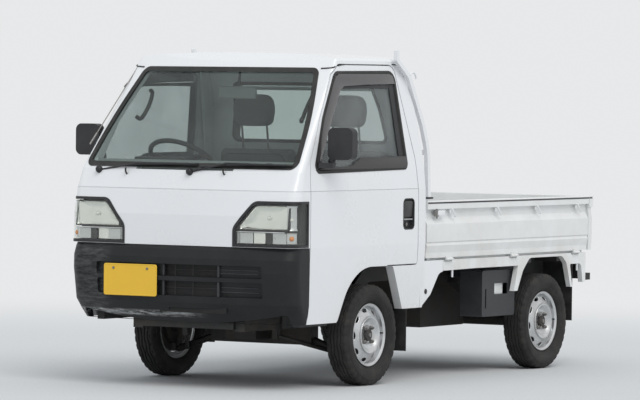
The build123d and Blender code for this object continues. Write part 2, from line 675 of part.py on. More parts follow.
# Chassis: two stepped rails, cross members, cab mounts and bumper brackets
rail_end = BED_REAR - SILL_DEEP
rail_side = [
    (-1500, 300, 0), (-1500, floor_under, 0), (-560, floor_under, 60), (-300, CROSS_LOW, 60),
    (rail_end, CROSS_LOW, 0), (rail_end, RAIL_LOW, 0), (-260, RAIL_LOW, 60), (-520, 300, 60),
]
rail = along_x(outline(rail_side), RAIL_X - RAIL_WIDE / 2, RAIL_X + RAIL_WIDE / 2)
rail = rail + block(RAIL_X - 30, RAIL_X + 30, -420, -360, 560, seat_under)
rail = rail + (block(RAIL_X - 25, RAIL_X + 25, -1640, -1500, 352, floor_under) & bumper_core)
rail_gap = RAIL_X - RAIL_WIDE / 2
cross_members = [block(-RAIL_X, RAIL_X, FRONT_AXLE_Y - 35, FRONT_AXLE_Y + 35, 200, 300)]
for y, low, high in (
    (-1480, 310, 375), (-300, 530, 590), (250, 530, 590), (640, RAIL_LOW, 590), (rail_end - 36, 530, 590),
):
    cross_members.append(block(-rail_gap, rail_gap, y - 35, y + 35, low, high))
spring_front = REAR_AXLE_Y - 441
spring_rear = REAR_AXLE_Y + 419
for y in (spring_front, spring_rear):
    rail = rail + block(RAIL_X - 20, RAIL_X + 20, y - 16, y + 16, RAIL_LOW - 20, RAIL_LOW + 10)

# Front suspension and knuckles about the leaning kingpin
pin_foot = Vector(PIN_FOOT[0], FRONT_AXLE_Y, PIN_FOOT[1])
pin_top = Vector(PIN_TOP[0], FRONT_AXLE_Y, PIN_TOP[1])
pin = (pin_top - pin_foot).normalized()


def pin_rod(start, end, radius):
    """Round bar on the kingpin between two distances from its foot."""
    return rod(tuple(pin_foot + pin * start), tuple(pin_foot + pin * end), radius)


ball = pin_foot + pin * -14
arm_low = rod((RAIL_X, FRONT_AXLE_Y, 225), tuple(ball), ARM_R)
arm_low = arm_low + rod((RAIL_X - 35, FRONT_AXLE_Y - 330, 262), tuple(ball + Vector(-60, 0, 12)), 12)
arm_low = arm_low + block(RAIL_X - 50, RAIL_X - 20, FRONT_AXLE_Y - 346, FRONT_AXLE_Y - 314, 244, 300)
arm_low = arm_low - block(0, RAIL_X, FRONT_AXLE_Y - 35, FRONT_AXLE_Y + 35, 200, 300)
arm_low = arm_low + pin_rod(-18, KNUCKLE_FOOT - FACE_GAP, BALL_R)
strut = pin_rod(370, 488, PIN_R)
strut = strut + Pos(PIN_TOP[0], FRONT_AXLE_Y, seat_under - 10) * Cylinder(45, 20)
suspension = Compound(children=[*arm_low.solids(), *strut.solids()])
hub_face = TRACK_HALF + DISC_BACK
hub_nose_r = HUB_BORE_R - BORE_GAP


def hub_at(side, y):
    """Brake drum, flange and nose that the wheel seats on; side is 1 on the vehicle's left."""
    drum = rod((side * (TRACK_HALF - 38), y, AXLE_Z), (side * (TRACK_HALF - 6), y, AXLE_Z), DRUM_R)
    flange = rod((side * (TRACK_HALF - 10), y, AXLE_Z), (side * (hub_face - FACE_GAP), y, AXLE_Z), 62)
    nose = rod((side * (TRACK_HALF - 10), y, AXLE_Z), (side * (hub_face + 16), y, AXLE_Z), hub_nose_r)
    return drum + flange + nose


knuckle = pin_rod(KNUCKLE_FOOT, 190, KNUCKLE_R) + pin_rod(180, 370 - FACE_GAP, STRUT_R)
knuckle = knuckle + rod((TRACK_HALF - 74.5, FRONT_AXLE_Y, AXLE_Z), (TRACK_HALF, FRONT_AXLE_Y, AXLE_Z), 24)
knuckle = knuckle + hub_at(1, FRONT_AXLE_Y)

# Rear axle beam on leaf springs under the rails
beam_end = TRACK_HALF - 30
rear_axle = rod((-beam_end, REAR_AXLE_Y, AXLE_Z), (beam_end, REAR_AXLE_Y, AXLE_Z), BEAM_R)
leaf_low = AXLE_Z + BEAM_R - 4
leaf_face = outline([
    (spring_front - 16, RAIL_LOW - 20, 0), (REAR_AXLE_Y, leaf_low + SPRING_THICK, 900),
    (spring_rear + 16, RAIL_LOW - 20, 0), (spring_rear + 16, RAIL_LOW - 20 - SPRING_THICK, 0),
    (REAR_AXLE_Y, leaf_low, 900), (spring_front - 16, RAIL_LOW - 20 - SPRING_THICK, 0),
])
for side in (-1, 1):
    leaf = along_x(leaf_face, side * RAIL_X - SPRING_WIDE / 2, side * RAIL_X + SPRING_WIDE / 2)
    seat = block(
        side * RAIL_X - 30, side * RAIL_X + 30, REAR_AXLE_Y - 40, REAR_AXLE_Y + 40, AXLE_Z + 10, leaf_low + 34,
    )
    rear_axle = rear_axle + hub_at(side, REAR_AXLE_Y) + leaf + seat

# Mid-mounted engine, propeller shaft and front differential
engine_rear = REAR_AXLE_Y - 181
engine_front = REAR_AXLE_Y - 661
engine = block(-260, 240, engine_front, engine_rear, 240, RAIL_LOW)
nose_gear = block(-130, 60, FRONT_AXLE_Y - 181, FRONT_AXLE_Y - 35, 225, 375)
shaft = rod((-60, FRONT_AXLE_Y - 35, 340), (-60, engine_front, 350), 28)
drivetrain = engine + nose_gear + shaft

# Side box with open slots, fuel tank, muffler
box_y = REAR_AXLE_Y - 493.5
box_out = BODY_HALF - 52
box_in = box_out - 140
side_box = along_x(Pos(box_y, 440) * RectangleRounded(367, 254, 16), box_in, box_out)
side_box = side_box - along_x(Pos(box_y, 440) * RectangleRounded(355, 242, 10), box_in + 6, box_out - 6)
side_box = side_box - along_x(Pos(box_y + 29, 464) * RectangleRounded(149, 60, 4), box_out - 20, box_out + 20)
side_slot = along_x(Pos(box_y - 142, 412) * RectangleRounded(14, 110, 6), box_out - 20, box_out + 20)
side_box = side_box - side_slot
side_box = side_box + block(RAIL_X + RAIL_WIDE / 2, box_in, box_y - 25, box_y + 25, 525, 555)
tank_end = spring_front - 30
fuel_tank = along_x(Pos(tank_end - 215, 420) * RectangleRounded(430, 230, 60), -620, -RAIL_X - RAIL_WIDE / 2)
muffler_y = REAR_AXLE_Y + 279
strap_x = rail_gap - 8
exhaust = rod((-strap_x - 6, muffler_y, 340), (strap_x + 6, muffler_y, 340), 75)
for x in (-strap_x, strap_x):
    exhaust = exhaust + block(x - 8, x + 8, muffler_y - 15, muffler_y + 15, 380, RAIL_LOW + 30)

# Mudflaps: hung from the panel behind the front arch and from the skirt behind the rear one
flap_y = FRONT_AXLE_Y + 323
flap_front = block(BODY_HALF - 167, BODY_HALF - 8, flap_y, flap_y + 5, 168, PANEL_FOOT_Z)
flap_rear = block(BODY_HALF - 167, SKIRT_X - 4, arch_rear + 127, arch_rear + 132, 258, 580)

# Rim section: out from the wheel's middle, radius. Barrel with its drop centre, then the disc
RIM_FACE = [
    (RIM_HALF, RIM_LIP_R), (RIM_HALF - 4, RIM_LIP_R), (RIM_HALF - 7, RIM_SEAT_R), (24, RIM_SEAT_R), (17, 142),
    (-24, 142), (-31, RIM_SEAT_R), (7 - RIM_HALF, RIM_SEAT_R), (4 - RIM_HALF, RIM_LIP_R), (-RIM_HALF, RIM_LIP_R),
    (-RIM_HALF, 153), (-35, 153), (-28, 138), (10, 138), (10, 108), (30, 100), (30, 84), (DISC_BACK, 70),
    (DISC_BACK, HUB_BORE_R), (DISC_BACK + DISC_THICK, HUB_BORE_R), (DISC_BACK + DISC_THICK, 66), (36, 80),
    (36, 104), (16, 112), (16, 138), (20, 138), (28, 153), (RIM_HALF, 153),
]
# Tyre section: out from the wheel's middle, radius. Bead, sidewall and tread, hollow inside
TYRE_FACE = [
    (7 - RIM_HALF, RIM_SEAT_R), (4.5 - RIM_HALF, RIM_LIP_R + 1), (-TYRE_HALF, 205), (-TYRE_HALF, 226),
    (-62, TYRE_R - 14), (-50, TYRE_R), (50, TYRE_R), (62, TYRE_R - 14), (TYRE_HALF, 226), (TYRE_HALF, 205),
    (RIM_HALF - 4.5, RIM_LIP_R + 1), (RIM_HALF - 7, RIM_SEAT_R), (30, RIM_SEAT_R), (52, TYRE_R - 16),
    (-52, TYRE_R - 16), (-30, RIM_SEAT_R),
]


def wheel_and_tyre(x, y, turn):
    """Rim and tyre about the axle at (x, y); turn is 1 where the dish looks to +X."""
    rim = revolve(Plane.XY * outline([(out, radius, 0) for out, radius in RIM_FACE]), Axis.X)
    vent = Plane.YZ * (Rot(0, 0, 90) * SlotOverall(VENT_LONG, VENT_WIDE))
    for i in range(VENTS):
        rim = rim - Rot(i * 360 / VENTS, 0, 0) * (Pos(0, 0, VENT_R) * extrude(Rot(90, 0, 0) * vent, 60))
    for i in range(NUTS):
        hole = Pos(5, 0, NUT_CIRCLE_R) * (Rot(0, 90, 0) * Cylinder(6, 30))
        rim = rim - Rot((i + 0.5) * 360 / NUTS, 0, 0) * hole
    tyre = revolve(Plane.XY * outline([(out, radius, 0) for out, radius in TYRE_FACE]), Axis.X)
    if turn < 0:
        rim = mirrored(rim)
        tyre = mirrored(tyre)
    place = Location((x, y, AXLE_Z))
    return rim.moved(place), tyre.moved(place)


nodes = {
    "roof": roof,
    "rear_wall": rear_wall,
    "side_frames": both(side_half),
    "front_panel": front_panel,
    "lamp_cases": both(lamp_case),
    "headlamps": both(lamp_lens),
    "window_seals": Compound(children=[*screen_seal.solids(), *rear_seal.solids()]),
    "cab_glass": Compound(children=[*windscreen.solids(), *rear_glass.solids()]),
    "cab_floor": cab_floor,
    "door_left": door,
    "door_right": mirrored(door),
    "door_glass_left": door_glass,
    "door_glass_right": mirrored(door_glass),
    "mirror_left": door_mirror,
    "mirror_right": mirrored(door_mirror),
    "front_bumper": bumper,
    "number_plate": plate,
    "wipers": Compound(children=[s for w in wiper_set for s in w.solids()]),
    "dashboard": dash,
    "steering_wheel": hand_wheel,
    "seats": Compound(children=[*both(cushion).solids(), *both(back_rest).solids()]),
    "bed_deck": deck,
    "guard_frame": guard,
    "bed_skirts": both(skirt),
    "side_gate_left": side_gate,
    "side_gate_right": mirrored(side_gate),
    "tailgate": tailgate,
    "tail_lamps": both(tail_lamp),
    "chassis_frame": both(rail),
    "cross_members": Compound(children=[s for member in cross_members for s in member.solids()]),
    "front_suspension": both(suspension),
    "knuckle_left": knuckle,
    "knuckle_right": mirrored(knuckle),
    "rear_axle": rear_axle,
    "drivetrain": drivetrain,
    "side_box": side_box,
    "fuel_tank": fuel_tank,
    "exhaust": exhaust,
    "flaps_and_buffers": Compound(children=[
        s for piece in (flap_front, flap_rear, buffer) for s in both(piece).solids()
    ]),
}
for name, x, y in (
    ("front_left", TRACK_HALF, FRONT_AXLE_Y),
    ("front_right", -TRACK_HALF, FRONT_AXLE_Y),
    ("rear_left", TRACK_HALF, REAR_AXLE_Y),
    ("rear_right", -TRACK_HALF, REAR_AXLE_Y),
):
    rim, tyre = wheel_and_tyre(x, y, 1 if x > 0 else -1)
    nodes["rim_" + name] = rim
    nodes["tyre_" + name] = tyre

for name, shape in nodes.items():
    export_step(shape, "parts/" + name + ".step")
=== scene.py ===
import json
import math
import random

import bmesh
import bpy
from mathutils import Matrix, Vector
from mathutils.bvhtree import BVHTree


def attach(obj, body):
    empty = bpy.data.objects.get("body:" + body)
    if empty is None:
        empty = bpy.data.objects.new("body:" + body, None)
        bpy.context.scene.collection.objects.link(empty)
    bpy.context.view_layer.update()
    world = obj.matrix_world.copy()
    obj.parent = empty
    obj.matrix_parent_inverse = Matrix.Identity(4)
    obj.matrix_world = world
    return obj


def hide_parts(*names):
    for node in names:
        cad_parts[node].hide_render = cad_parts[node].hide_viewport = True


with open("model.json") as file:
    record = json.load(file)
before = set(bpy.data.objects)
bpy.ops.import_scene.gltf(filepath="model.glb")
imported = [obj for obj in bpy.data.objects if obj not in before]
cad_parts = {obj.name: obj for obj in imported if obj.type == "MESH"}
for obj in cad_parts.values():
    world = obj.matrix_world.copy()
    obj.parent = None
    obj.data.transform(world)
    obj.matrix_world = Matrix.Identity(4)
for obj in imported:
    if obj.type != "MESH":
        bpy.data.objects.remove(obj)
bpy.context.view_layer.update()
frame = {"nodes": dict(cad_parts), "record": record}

random.seed(7)
NODES = frame["nodes"]


# Materials


def tree_tools(tree):
    """Empties a node tree and returns its tools: add a node, link two, maths, and a change of range."""
    tree.nodes.clear()

    def add(kind, **values):
        """A node; p_ marks a property, and an underscore in a socket's name stands for a space."""
        node = tree.nodes.new(kind)
        for key, value in values.items():
            if key.startswith("p_"):
                setattr(node, key[2:], value)
            else:
                node.inputs[key.replace("_", " ")].default_value = value
        return node

    def link(a, out, b, into):
        tree.links.new(a.outputs[out], b.inputs[into])

    def calc(operation, *terms, **values):
        """Maths on numbers and (node, output) pairs; the result is such a pair."""
        node = add("ShaderNodeMath", p_operation=operation, **values)
        for i, term in enumerate(terms):
            if isinstance(term, tuple):
                link(*term, node, i)
            else:
                node.inputs[i].default_value = term
        return node, "Value"

    def stretch(source, **values):
        """The value of a (node, output) pair, moved from one range to another."""
        node = add("ShaderNodeMapRange", **values)
        link(*source, node, "Value")
        return node, "Result"

    return add, link, calc, stretch


def node_tree(name):
    """A new material, and its empty tree's tools."""
    material = bpy.data.materials.new(name)
    material.use_nodes = True
    return (material, *tree_tools(material.node_tree))


def noise(add, link, place, **values):
    """Noise through space."""
    node = add("ShaderNodeTexNoise", **values)
    link(place, "Position", node, "Vector")
    return node


def axes(add, link, place):
    """The X, Y and Z of a place."""
    node = add("ShaderNodeSeparateXYZ")
    link(place, "Position", node, "Vector")
    return node


def ramp(add, link, source, low, high, colours=((0, 0, 0), (1, 1, 1))):
    """A colour that changes between two values of a (node, output) pair."""
    node = add("ShaderNodeValToRGB")
    for element, position, colour in zip(node.color_ramp.elements, (low, high), colours):
        element.position = position
        element.color = (*colour, 1)
    link(*source, node, "Fac")
    return node, "Color"


def scraped(add, link, calc, stretch, place, under):
    """Pale scrapes mixed over a colour, on the bumper's lower lip and its right end."""
    split = axes(add, link, place)
    squash = add("ShaderNodeVectorMath", p_operation="MULTIPLY")
    squash.inputs[1].default_value = (0.30, 1.0, 1.5)
    link(place, "Position", squash, 0)
    marks = add("ShaderNodeTexNoise", Scale=42.0, Detail=10.0, Roughness=0.75)
    link(squash, "Vector", marks, "Vector")
    below_top, above_foot, across, right_end = (
        stretch((split, axis), From_Min=start, From_Max=full) for axis, start, full in (
            ("Z", 0.404, 0.392), ("Z", 0.366, 0.376), ("X", 0.180, -0.050), ("X", -0.400, -0.480)))
    lip = calc("MULTIPLY", calc("MULTIPLY", below_top, above_foot), across)
    area = calc("MAXIMUM", lip, calc("MULTIPLY", right_end, 0.12))
    share = calc("MULTIPLY", area, ramp(add, link, (marks, "Fac"), 0.42, 0.70))
    mixed = add("ShaderNodeMix", p_data_type="RGBA", B=(0.62, 0.63, 0.64, 1))
    link(*under, mixed, "A")
    link(*share, mixed, "Factor")
    return mixed, "Result"


def coated(name, colour, rough, dirt, dirt_share, scale, metal=0.0, coat=0.0, bump=0.05, fine=120.0,
           low_dirt=None, spec=0.5, scuffs=False, below=None, crease=None):
    """Paint, plastic, rubber or metal with patchy dirt, uneven gloss and a fine grain.
    low_dirt is (height, reach): grime that grows below that height. scuffs are pale scrapes low on the
    bumper and on its right end. below is (height, colour): another coat under that height. crease is the
    height of a pressed fold line."""
    material, add, link, calc, stretch = node_tree(name)
    place = add("ShaderNodeNewGeometry")
    cloud = noise(add, link, place, Scale=scale, Detail=6.0, Roughness=0.62)
    grain = noise(add, link, place, Scale=fine, Detail=3.0, Roughness=0.6)
    patch = ramp(add, link, (cloud, "Fac"), 0.42, 0.78)
    soiled = calc("MULTIPLY", patch, dirt_share)
    if low_dirt:
        height, reach = low_dirt
        fall = stretch((axes(add, link, place), "Z"), From_Min=height, From_Max=height - reach)
        soiled = calc("ADD", soiled, calc("MULTIPLY", fall, patch), p_use_clamp=True)
    tint = add("ShaderNodeMix", p_data_type="RGBA", A=(*colour, 1), B=(*dirt, 1))
    link(*soiled, tint, "Factor")
    final = (tint, "Result")
    if below:
        height, undercoat = below
        mixed = add("ShaderNodeMix", p_data_type="RGBA", B=(*undercoat, 1))
        link(*final, mixed, "A")
        link(*calc("LESS_THAN", (axes(add, link, place), "Z"), height), mixed, "Factor")
        final = (mixed, "Result")
    if scuffs:
        final = scraped(add, link, calc, stretch, place, final)
    shine = stretch((cloud, "Fac"), To_Min=max(rough - 0.08, 0.02), To_Max=min(rough + 0.16, 1.0))
    relief = add("ShaderNodeBump", Strength=bump, Distance=0.002)
    link(grain, "Fac", relief, "Height")
    if crease:
        off = calc("ABSOLUTE", calc("SUBTRACT", (axes(add, link, place), "Z"), crease))
        fold = add("ShaderNodeBump", Strength=1.0, Distance=0.0035)
        link(*stretch(off, p_interpolation_type="SMOOTHSTEP", From_Max=0.006), fold, "Height")
        link(relief, "Normal", fold, "Normal")
        relief = fold
    shader = add("ShaderNodeBsdfPrincipled", Metallic=metal, Coat_Weight=coat, Coat_Roughness=0.06,
                 Specular_IOR_Level=spec)
    link(*final, shader, "Base Color")
    link(*shine, shader, "Roughness")
    link(relief, "Normal", shader, "Normal")
    link(shader, "BSDF", add("ShaderNodeOutputMaterial"), "Surface")
    return material


def pane(name, tint, grime, gloss=0.04):
    """Thin clear sheet: lets light through with a tint and mirrors more at a flat angle."""
    material, add, link, calc, stretch = node_tree(name)
    cloud = noise(add, link, add("ShaderNodeNewGeometry"), Scale=2.2, Detail=5.0)
    through = add("ShaderNodeBsdfTransparent", Color=(*tint, 1))
    mirror = add("ShaderNodeBsdfGlossy", Color=(1, 1, 1, 1))
    link(*stretch((cloud, "Fac"), To_Min=gloss * 0.5, To_Max=gloss * 1.5), mirror, "Roughness")
    steep = calc("POWER", (add("ShaderNodeLayerWeight", Blend=0.5), "Facing"), 5.0)
    clear = add("ShaderNodeMixShader")
    link(*calc("MULTIPLY_ADD", steep, 0.5, 0.03), clear, "Fac")
    link(through, "BSDF", clear, 1)
    link(mirror, "BSDF", clear, 2)
    dust = add("ShaderNodeBsdfDiffuse", Color=(0.62, 0.64, 0.64, 1))
    spots = ramp(add, link, (cloud, "Fac"), 0.4, 0.9, ((0.2, 0.2, 0.2), (1, 1, 1)))
    full = add("ShaderNodeMixShader")
    link(*calc("MULTIPLY", spots, grime), full, "Fac")
    link(clear, "Shader", full, 1)
    link(dust, "BSDF", full, 2)
    link(full, "Shader", add("ShaderNodeOutputMaterial"), "Surface")
    return material


FOLD_Z = 1.028
DECK_FOOT_Z = 0.6235
CAB_PAINT = dict(colour=(0.79, 0.80, 0.82), rough=0.22, dirt=(0.62, 0.60, 0.55), dirt_share=0.10, scale=2.2,
                 coat=0.6, bump=0.02, fine=60.0, low_dirt=(0.75, 0.6))
WHITE = coated("white_paint", **CAB_PAINT)
CAB_WHITE = coated("cab_paint", **CAB_PAINT, crease=FOLD_Z)
BED_WHITE = coated("bed_paint", (0.77, 0.78, 0.78), 0.34, (0.52, 0.48, 0.42), 0.28, 5.0, coat=0.25, bump=0.06,
                   fine=90.0, low_dirt=(0.75, 0.5))
DECK_WHITE = coated("deck_paint", (0.72, 0.73, 0.73), 0.45, (0.40, 0.36, 0.31), 0.5, 4.0, bump=0.1, fine=90.0,
                    below=(DECK_FOOT_Z, (0.03, 0.028, 0.026)))
UNDERSEAL = coated("floor_coat", (0.045, 0.045, 0.046), 0.75, (0.11, 0.10, 0.085), 0.5, 6.0, bump=0.3,
                   fine=140.0)
DARK = coated("dark_plastic", (0.022, 0.024, 0.028), 0.46, (0.10, 0.10, 0.10), 0.3, 6.0, bump=0.12,
              fine=400.0)
BUMPER_COAT = coated("bumper_plastic", (0.011, 0.012, 0.013), 0.44, (0.040, 0.040, 0.039), 0.30, 6.0,
                     bump=0.12, fine=400.0, scuffs=True, spec=0.3)
BLACK = coated("black_plastic", (0.014, 0.014, 0.016), 0.42, (0.07, 0.07, 0.068), 0.3, 8.0, bump=0.1,
               fine=350.0)
GREY = coated("grey_plastic", (0.34, 0.35, 0.35), 0.6, (0.30, 0.30, 0.28), 0.3, 9.0, bump=0.15, fine=500.0)
RUBBER = coated("seal_rubber", (0.014, 0.014, 0.014), 0.6, (0.09, 0.088, 0.082), 0.35, 14.0, bump=0.1,
                fine=300.0)
TYRE = coated("tyre_rubber", (0.024, 0.023, 0.023), 0.72, (0.075, 0.070, 0.064), 0.6, 9.0, bump=0.3,
              fine=260.0, spec=0.25)
CHASSIS = coated("chassis_steel", (0.018, 0.018, 0.018), 0.55, (0.10, 0.08, 0.06), 0.6, 7.0, bump=0.25,
                 fine=160.0)
SILVER = coated("wheel_silver", (0.64, 0.65, 0.66), 0.28, (0.24, 0.22, 0.19), 0.45, 12.0, metal=0.70,
                bump=0.08, fine=200.0)
IRON = coated("cast_iron", (0.07, 0.068, 0.066), 0.7, (0.09, 0.07, 0.05), 0.6, 9.0, metal=0.5, bump=0.5)
STEEL = coated("dull_steel", (0.24, 0.235, 0.23), 0.45, (0.15, 0.12, 0.10), 0.5, 9.0, metal=0.7, bump=0.25,
               fine=90.0)
PLATE = coated("plate_yellow", (0.82, 0.50, 0.035), 0.38, (0.60, 0.40, 0.06), 0.18, 6.0, bump=0.03,
               fine=200.0)
FABRIC = coated("seat_fabric", (0.15, 0.16, 0.165), 0.95, (0.21, 0.21, 0.21), 0.5, 30.0, bump=0.8, fine=900.0,
                spec=0.1)
RED_LENS = coated("red_lens", (0.42, 0.012, 0.010), 0.12, (0.25, 0.05, 0.04), 0.15, 10.0, coat=0.8,
                  fine=250.0)
SMOKE = coated("smoked_visor", (0.060, 0.055, 0.058), 0.16, (0.12, 0.11, 0.11), 0.2, 7.0, coat=0.5, bump=0.02,
               fine=150.0)
SATIN = coated("satin_black", (0.030, 0.029, 0.030), 0.38, (0.075, 0.073, 0.072), 0.3, 9.0, bump=0.08,
               fine=420.0)
CHROME = coated("reflector", (0.86, 0.86, 0.82), 0.10, (0.62, 0.61, 0.55), 0.25, 14.0, metal=1.0, bump=0.02,
                fine=90.0)
SILVERED = coated("silvered_plastic", (0.66, 0.67, 0.67), 0.28, (0.48, 0.48, 0.46), 0.3, 25.0, metal=0.65,
                  bump=0.35, fine=320.0)
BULB = coated("bulb_glass", (0.78, 0.78, 0.74), 0.12, (0.50, 0.49, 0.45), 0.2, 20.0, coat=0.8, bump=0.03,
              fine=90.0)
AMBER = coated("amber_plastic", (0.80, 0.26, 0.04), 0.18, (0.55, 0.18, 0.05), 0.2, 18.0, coat=0.7, bump=0.12,
               fine=300.0)
CLEAR_LENS = coated("clear_plastic", (0.72, 0.73, 0.72), 0.15, (0.52, 0.52, 0.50), 0.2, 16.0, coat=0.7,
                    bump=0.15, fine=320.0)
CORE = coated("cooling_core", (0.010, 0.010, 0.011), 0.6, (0.04, 0.035, 0.03), 0.4, 10.0, metal=0.2, bump=0.6,
              fine=650.0)
PIPING = coated("seat_piping", (0.030, 0.032, 0.034), 0.7, (0.07, 0.07, 0.07), 0.4, 30.0, bump=0.2,
                fine=400.0)
GLASS = pane("window_glass", (0.77, 0.815, 0.80), grime=0.05)
DOOR_GLASS = pane("door_glass", (0.80, 0.83, 0.83), grime=0.30)
LAMP_GLASS = pane("lamp_glass", (0.95, 0.96, 0.95), grime=0.04, gloss=0.08)

SLOTS = {
    "white_paint": WHITE, "black_steel": CHASSIS, "silver_steel": SILVER, "cast_iron": IRON, "steel": STEEL,
    "dark_plastic": DARK, "black_plastic": BLACK, "grey_plastic": GREY, "seal_rubber": RUBBER, "tyre": TYRE,
    "glass": GLASS, "lamp_glass": LAMP_GLASS, "red_lens": RED_LENS, "plate_yellow": PLATE,
    "seat_fabric": FABRIC,
}
OWN = {
    "bed_deck": DECK_WHITE, "cab_floor": UNDERSEAL, "front_bumper": BUMPER_COAT, "side_gate_left": BED_WHITE,
    "side_gate_right": BED_WHITE, "tailgate": BED_WHITE, "bed_skirts": BED_WHITE, "front_panel": CAB_WHITE,
    "door_left": CAB_WHITE, "door_right": CAB_WHITE, "door_glass_left": DOOR_GLASS,
    "door_glass_right": DOOR_GLASS,
}
for part in frame["record"]["subparts"]:
    obj = NODES[part["node"]]
    obj.data.materials.clear()
    obj.data.materials.append(OWN.get(part["node"], SLOTS[part["material_slot"]]))


# Fine pieces are gathered by body and material, and made into one mesh each at the end

GROUPS = {}


def other_side(body):
    """The body that mirrors this one."""
    for here, there in (("left", "right"), ("right", "left")):
        if body.endswith(here):
            return body[: -len(here)] + there
    return body


def solid(shape):
    """An editable mesh of (points, faces), its faces turned outwards."""
    points, faces = shape
    piece = bmesh.new()
    made = [piece.verts.new(p) for p in points]
    for face in faces:
        piece.faces.new([made[i] for i in face])
    bmesh.ops.recalc_face_normals(piece, faces=piece.faces)
    return piece


def put(body, material, shape, bevel=0.0, mirror=False, segments=2):
    """Adds (points, faces) to a body's pieces of one material, and its mirror image to the other side."""
    piece = solid(shape)
    if bevel:
        edges = [e for e in piece.edges if len(e.link_faces) == 2 and e.calc_face_angle(0) > 0.6]
        bmesh.ops.bevel(piece, geom=edges, offset=bevel, segments=segments, affect="EDGES", profile=0.6)
    mesh = bpy.data.meshes.new("piece")
    piece.to_mesh(mesh)
    piece.free()
    sides = [(body, False)]
    if mirror:
        sides.append((other_side(body), True))
    for target, flip in sides:
        group = GROUPS.setdefault((target, material.name), bmesh.new())
        if flip:
            mesh.transform(Matrix.Scale(-1, 4, (1, 0, 0)))
            mesh.flip_normals()
        group.from_mesh(mesh)
    bpy.data.meshes.remove(mesh)


def mesh_object(name, mesh, material, body):
    """A mesh as an object on a body, smooth but for its sharp edges."""
    obj = bpy.data.objects.new(name, mesh)
    bpy.context.scene.collection.objects.link(obj)
    mesh.materials.append(material)
    mesh.polygons.foreach_set("use_smooth", [True] * len(mesh.polygons))
    mesh.set_sharp_from_angle(angle=math.radians(38))
    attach(obj, body)
    return obj


def cuboid(x0, x1, y0, y1, z0, z1):
    """Box between two corners."""
    points = [(x, y, z) for x in (x0, x1) for y in (y0, y1) for z in (z0, z1)]
    return points, [(0, 1, 3, 2), (4, 6, 7, 5), (0, 4, 5, 1), (2, 3, 7, 6), (0, 2, 6, 4), (1, 5, 7, 3)]


def web(rows, count, joined=False, closed=True):
    """Faces of a grid of rows of count points. joined links the last row to the first, and closed each
    row's end to its start."""
    faces = []
    for row in range(rows if joined else rows - 1):
        after = (row + 1) % rows
        for i in range(count if closed else count - 1):
            j = (i + 1) % count
            faces.append((row * count + i, row * count + j, after * count + j, after * count + i))
    return faces


def prism(loop, place_low, place_high):
    """Solid between two copies of a flat loop; the two functions place a loop point in space."""
    count = len(loop)
    points = [place_low(p) for p in loop] + [place_high(p) for p in loop]
    return points, [tuple(range(count - 1, -1, -1)), tuple(range(count, 2 * count))] + web(2, count)


def slab(loop, axis, low, high):
    """Flat loop of (y, z) or (x, z) points made thick along x or y."""
    if axis == "x":
        return prism(loop, lambda p: (low, *p), lambda p: (high, *p))
    return prism(loop, lambda p: (p[0], low, p[1]), lambda p: (p[0], high, p[1]))


def lathe(profile, origin, axis, steps=24):
    """Turns a profile of (distance along the axis, radius) about the axis."""
    axis = Vector(axis).normalized()
    side = axis.orthogonal().normalized()
    around = axis.cross(side)
    origin = Vector(origin)
    points = []
    for along, radius in profile:
        for i in range(steps):
            angle = 2 * math.pi * i / steps
            way = side * math.cos(angle) + around * math.sin(angle)
            points.append(origin + axis * along + way * radius)
    rings = len(profile)
    return points, web(rings, steps) + [tuple(range(steps)), tuple(range((rings - 1) * steps, rings * steps))]


def eased(points, per=6, closed=False):
    """Points of a smooth line through the given ones."""
    points = [Vector(p) for p in points]
    count = len(points)
    result = []
    for i in range(count if closed else count - 1):
        if closed:
            p0, p1, p2, p3 = (points[(i + k) % count] for k in (-1, 0, 1, 2))
        else:
            p0, p1, p2, p3 = (points[min(max(i + k, 0), count - 1)] for k in (-1, 0, 1, 2))
        for step in range(per):
            t = step / per
            result.append(0.5 * (2 * p1 + (p2 - p0) * t + (2 * p0 - 5 * p1 + 4 * p2 - p3) * t * t
                                 + (3 * p1 - p0 - 3 * p2 + p3) * t ** 3))
    if not closed:
        result.append(points[-1])
    return result


def pipe(points, radius, sides=10, closed=False, flat=1.0):
    """Round bar along a line of points; flat squeezes it along its second direction."""
    points = [Vector(p) for p in points]
    count = len(points)
    rows = []
    normal = None
    for i in range(count):
        back = points[i - 1] if (i or closed) else points[i]
        ahead_of = points[(i + 1) % count] if (i < count - 1 or closed) else points[i]
        run = (ahead_of - back).normalized()
        normal = (normal - run * normal.dot(run)).normalized() if normal else run.orthogonal().normalized()
        across = run.cross(normal)
        for k in range(sides):
            angle = 2 * math.pi * k / sides
            rows.append(points[i] + normal * (radius * math.cos(angle))
                        + across * (radius * flat * math.sin(angle)))
    faces = web(count, sides, joined=closed)
    if not closed:
        faces += [tuple(range(sides)), tuple(range((count - 1) * sides, count * sides))]
    return rows, faces


def oblong(u0, u1, v0, v1, radius):
    """Corners of a rectangle for rounded."""
    return [(u0, v0, radius), (u1, v0, radius), (u1, v1, radius), (u0, v1, radius)]


